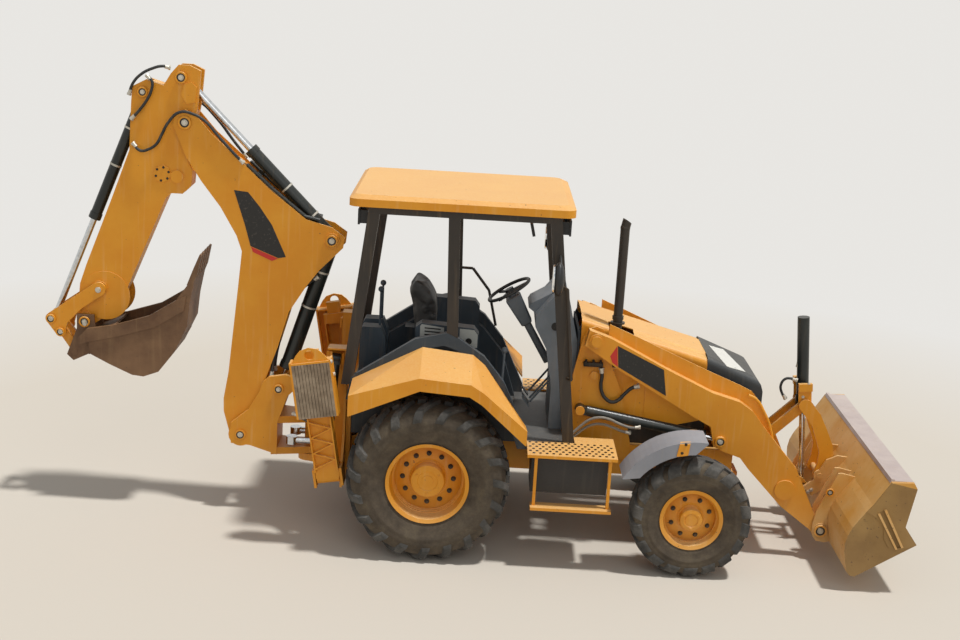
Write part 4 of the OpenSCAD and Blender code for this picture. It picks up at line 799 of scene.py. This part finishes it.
hose("lift_hose_lower",
     [(1135, -548, 925), (1180, -546, 970), (1235, -545, 1020), (1300, -545, 1060), (1380, -544, 1072),
      (1470, -542, 1050), (1560, -538, 1018), (1625, -532, 1006)],
     11, "root", rubber=hose_grey, joined=("lift_barrels", (1200, 0, 1100), (1560, 0, 1050)), mirror=True)
hose("tilt_hose_loop",
     [(2962, -62, 1232), (2925, -66, 1282), (2908, -66, 1352), (2940, -66, 1408), (2992, -66, 1414),
      (3040, -62, 1400)], 11, "tilt_barrel")
for number, y in ((1, 70), (2, -70)):
    hose(f"boom_foot_hose_{number}",
         [(-1010, y, 2060), (-1075, y, 2010), (-1160, y, 1930), (-1238, y, 1800), (-1302, 1.05 * y, 1625),
          (-1345, 1.1 * y, 1440), (-1372, 1.2 * y, 1290), (-1380, 1.4 * y, 1180)],
         14, "boom", joined=("swing_casting", (-1200, 0, 1900), (-1500, 0, 900)))
hose("tilt_pipe",
     [(3072, 0, 1898), (3052, 0, 1880), (3046, 0, 1800), (3046, 0, 1640), (3046, 0, 1560), (3042, 0, 1500)],
     8, "tilt_barrel")
hose("swing_hoses",
     [(-1180, 205, 905), (-1110, 232, 880), (-1030, 250, 850), (-940, 250, 850), (-880, 235, 870)],
     11, "root", mirror=True)


# Hand guard and fitting block by the lift tower: bent round bar welded to the arm, and a cast block that
# takes the arm's hose.
guard_bm = bmesh.new()
for side in (1, -1):
    guard = [(2560, -482, 1372), (2632, -482, 1335), (2700, -482, 1240), (2765, -482, 1110), (2795, -482, 1000)]
    add_round(guard_bm, "arm_guards", [spot(x, side * y, z) for x, y, z in guard], 13)
put("arm_guards", guard_bm, [yellow_enamel], "loader_arms", 50)


def add_block(bm, x, y, z, size, edge):
    """A box with rounded edges, its middle at (x, y, z) millimetres; size and edge are in metres"""
    made = bmesh.ops.create_cube(bm, size=1.0, matrix=Matrix.Translation(spot(x, y, z))
                                 @ Matrix.Diagonal((*size, 1.0)))
    bmesh.ops.bevel(bm, geom=list({e for v in made["verts"] for e in v.link_edges}), offset=edge, segments=2,
                    affect="EDGES", profile=0.5, material=-1)


block_bm = bmesh.new()
for side in (-1, 1):
    add_block(block_bm, 1285, side * 446, 1545, (0.16, 0.045, 0.035), 0.006)
    for x in (1225, 1285, 1345):
        add_bolt(block_bm, spot(x, side * 446, 1562), Vector((0, 0, 1)), 11, 22, 0, 0)
put("hose_blocks", block_bm, [dark_steel], "root")


# Operator's seat: two foam pads under black vinyl on a sprung pedestal with a rubber bellows. Each pad
# starts as a block and is swollen by a short cloth run, as foam swells a stretched cover.
vinyl, tree, shader, place = new_material("seat_vinyl_cover")
pores = add_node(tree, "ShaderNodeTexVoronoi", {"Vector": place, "Scale": 320.0}).outputs["Distance"]
worn = add_node(tree, "ShaderNodeTexNoise", {"Vector": place, "Scale": 9.0, "Detail": 6.0}).outputs["Fac"]
tree.links.new(ramp(tree, worn, [(0.35, "#1A1B1D"), (0.75, "#3A3937")]), shader.inputs["Base Color"])
shader.inputs["Roughness"].default_value = 0.5
bump = add_node(tree, "ShaderNodeBump", {"Strength": 0.25, "Distance": 0.001, "Height": pores})
tree.links.new(bump.outputs["Normal"], shader.inputs["Normal"])
VOXEL_M = 0.009
SWELL_M = 0.022
CLOTH_FRAMES = 20


def stuffed(name, bm, body):
    """Remeshes a closed shape and lets pressure swell it, holding every point within SWELL_M"""
    mesh = bpy.data.meshes.new(name)
    bm.to_mesh(mesh)
    bm.free()
    pad = bpy.data.objects.new(name, mesh)
    bpy.context.collection.objects.link(pad)
    remesh = pad.modifiers.new("remesh", "REMESH")
    remesh.mode = "VOXEL"
    remesh.voxel_size = VOXEL_M
    pad.data = bpy.data.meshes.new_from_object(pad.evaluated_get(bpy.context.evaluated_depsgraph_get()))
    pad.modifiers.clear()
    rest = [v.co.copy() for v in pad.data.vertices]
    cover = pad.modifiers.new("cover", "CLOTH")
    cover.settings.use_pressure = True
    cover.settings.uniform_pressure_force = 4.0
    cover.settings.effector_weights.gravity = 0.0
    for step in range(1, CLOTH_FRAMES + 1):
        bpy.context.scene.frame_set(step)
    swollen = pad.evaluated_get(bpy.context.evaluated_depsgraph_get()).to_mesh()
    moved = [v.co.copy() for v in swollen.vertices]
    pad.modifiers.clear()
    for v, was, now in zip(pad.data.vertices, rest, moved):
        shift = now - was
        v.co = was + shift * min(1.0, SWELL_M / max(shift.length, 1e-9))
    bpy.context.scene.frame_set(1)
    pad.data.materials.append(vinyl)
    pad.data.shade_smooth()
    smooth = pad.modifiers.new("smooth", "SUBSURF")
    smooth.levels = smooth.render_levels = 1
    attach(pad, body)
    return pad


def pad_block(profile, half_y):
    """A block with a side-view outline and rounded edges"""
    bm = bmesh.new()
    verts = [bm.verts.new(spot(x, -half_y, z)) for x, z in profile]
    face = bm.faces.new(verts)
    made = bmesh.ops.extrude_face_region(bm, geom=[face])["geom"]
    bmesh.ops.translate(bm, verts=[v for v in made if isinstance(v, bmesh.types.BMVert)],
                        vec=(0, 2 * half_y / 1000, 0))
    bmesh.ops.recalc_face_normals(bm, faces=bm.faces)
    bmesh.ops.bevel(bm, geom=list(bm.edges), offset=0.028, segments=3, affect="EDGES", profile=0.5, material=-1)
    return bm


CUSHION_SIDE = [(-140, 1425), (285, 1430), (292, 1500), (-140, 1505)]
BACK_SIDE = [(-150, 1535), (-62, 1535), (-36, 1780), (-56, 1965), (-140, 2078), (-206, 2118), (-232, 2020),
             (-200, 1900)]
stuffed("seat_cushion", pad_block(CUSHION_SIDE, 215), "seat")
stuffed("seat_back", pad_block(BACK_SIDE, 190), "seat")
FOLD_MM = 26
stand_bm = bmesh.new()
section = [(20, 1221)]
for fold in range(7):
    section += [(118, 1222 + FOLD_MM * fold), (96, 1235 + FOLD_MM * fold)]
section += [(110, 1404), (110, 1412), (20, 1412)]
verts = [stand_bm.verts.new(spot(r, 0, h)) for r, h in section]
edges = [stand_bm.edges.new(pair) for pair in zip(verts, verts[1:] + verts[:1])]
bmesh.ops.spin(stand_bm, geom=verts + edges, cent=spot(0, 0, 0), axis=(0, 0, 1), dvec=(0, 0, 0),
               angle=2 * math.pi, steps=40, use_merge=True)
add_block(stand_bm, 70, 0, 1412, (0.4, 0.38, 0.022), 0.006)
seat_stand = put("seat_stand", stand_bm, [black_plastic], "seat")
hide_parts("operator_seat")


# Lamps and mirrors: ribbed glass in the recess of each lamp, and silvered glass on the mirrors' rear faces,
# both with bands of painted reflection. The glass is pressed and held by its housing.
def glass(name, tint, roughness, metallic):
    """Glass over a reflector, as it looks from outside: smooth, with the reflector and the ribs as bands of
    painted reflection in near white
    """
    material, tree, shader, place = new_material(name)
    rib_reflections = add_node(tree, "ShaderNodeTexWave", {"Vector": place, "Scale": 28.0, "Distortion": 0.2},
                    bands_direction="Y")
    tree.links.new(ramp(tree, rib_reflections.outputs["Color"], [(0.0, tint), (1.0, "#F0F2F4")]),
                   shader.inputs["Base Color"])
    shader.inputs["Roughness"].default_value = roughness
    shader.inputs["Metallic"].default_value = metallic
    return material


lamp_glass = glass("lamp_glass", "#C8CCD0", 0.12, 0.3)
mirror_glass = glass("mirror_glass", "#B9C2CA", 0.06, 0.9)
lens_bm = bmesh.new()
for face_x, way in ((1006.5, 1), (-646.5, -1)):
    for side in (-1, 1):
        add_block(lens_bm, face_x + way * 4, side * 560, 2687, (0.008, 0.144, 0.096), 0.003)
put("lamp_lenses", lens_bm, [lamp_glass], "root")
mirror_bm = bmesh.new()
for side in (-1, 1):
    oval = Matrix.Diagonal((1, 0.98, 1.62, 1)) @ Matrix.Rotation(-math.pi / 2, 4, "Y")
    add_stub(mirror_bm, 48, 72, 68, 10, Matrix.Translation(spot(890, side * 880, 2330)) @ oval)
put("mirror_glasses", mirror_bm, [mirror_glass], "root")


# Step platform: pressed sheet with round drain holes whose edges are turned up for grip, each hole shown as a
# black disc of painted shade, and a dark tank and box below it.
tank_paint = weathered("tank_paint", "#1B1A19", "#2A2725", "#5C5347", 0.45, 0.8, 0.02)
HOLE_PITCH = 52
HOLE_R = 7
holes_bm = bmesh.new()
for side in (-1, 1):
    for row in range(6):
        for n in range(13):
            along = 800 + HOLE_PITCH * (n + (0.5 if row % 2 else 0))
            where = spot(along, side * (748 + HOLE_PITCH * row), 954.3)
            made = bmesh.ops.create_circle(holes_bm, cap_ends=True, segments=10, radius=HOLE_R * 1.7 / 1000,
                                           matrix=Matrix.Translation(where))
            face = next(iter({f for v in made["verts"] for f in v.link_faces}))
            bmesh.ops.inset_region(holes_bm, faces=[face], thickness=HOLE_R * 0.7 / 1000, depth=0.0035)
            # The hole's floor is painted black: painted shade of the space under the sheet.
            face.material_index = 1
put("platform_holes", holes_bm, [yellow_enamel, black_print_and_shade], "root")
steps_mesh = nodes["side_steps"].data
steps_mesh.materials.append(tank_paint)
for polygon in steps_mesh.polygons:
    centre = polygon.center
    if 0.602 < centre.z < 0.929 and abs(centre.y) < 0.956:
        polygon.material_index = 1


# Worn places of the loader bucket: the folded lip is scoured to a pale lilac grey, the floor and cutting
# edge to bare steel, and the cheeks are a dark brown that is partly earth stain and partly painted shade.
lip_steel = weathered("scoured_lip", "#B3A5A4", "#C9BCB6", "#B39B78", 0.45, 0.5, metallic=0.2)
edge_steel = weathered("scoured_edge", "#8C8074", "#A89A88", "#A08C6E", 0.4, 0.8, metallic=0.5)
cheek_stain_and_shade = weathered("cheek_earth_and_shade", "#8A6836", "#A98344", "#8E7350", 0.6, 1.3, 0.08)
CHEEK_Y = 1.152
bucket_mesh = nodes["loader_bucket"].data
for material in (lip_steel, edge_steel, cheek_stain_and_shade):
    bucket_mesh.materials.append(material)
for polygon in bucket_mesh.polygons:
    x, y, z = polygon.center.x - REAR_AXLE_X, abs(polygon.center.y), polygon.center.z
    if y < CHEEK_Y and z > 0.885 and x > 3.6:
        polygon.material_index = 1
    elif y < CHEEK_Y and x > 3.63 and z < 0.45:
        polygon.material_index = 2
    # Outer cheek faces: dark brown, earth stain and painted shade together.
    elif 1.1695 < y < 1.1945 and z < 0.9:
        polygon.material_index = 3

# The tilt barrel's trunnion plates are painted yellow, the barrel black.
barrel_mesh = nodes["tilt_barrel"].data
barrel_mesh.materials.append(yellow_enamel)
for polygon in barrel_mesh.polygons:
    if abs(polygon.center.y) > 0.0985:
        polygon.material_index = 1
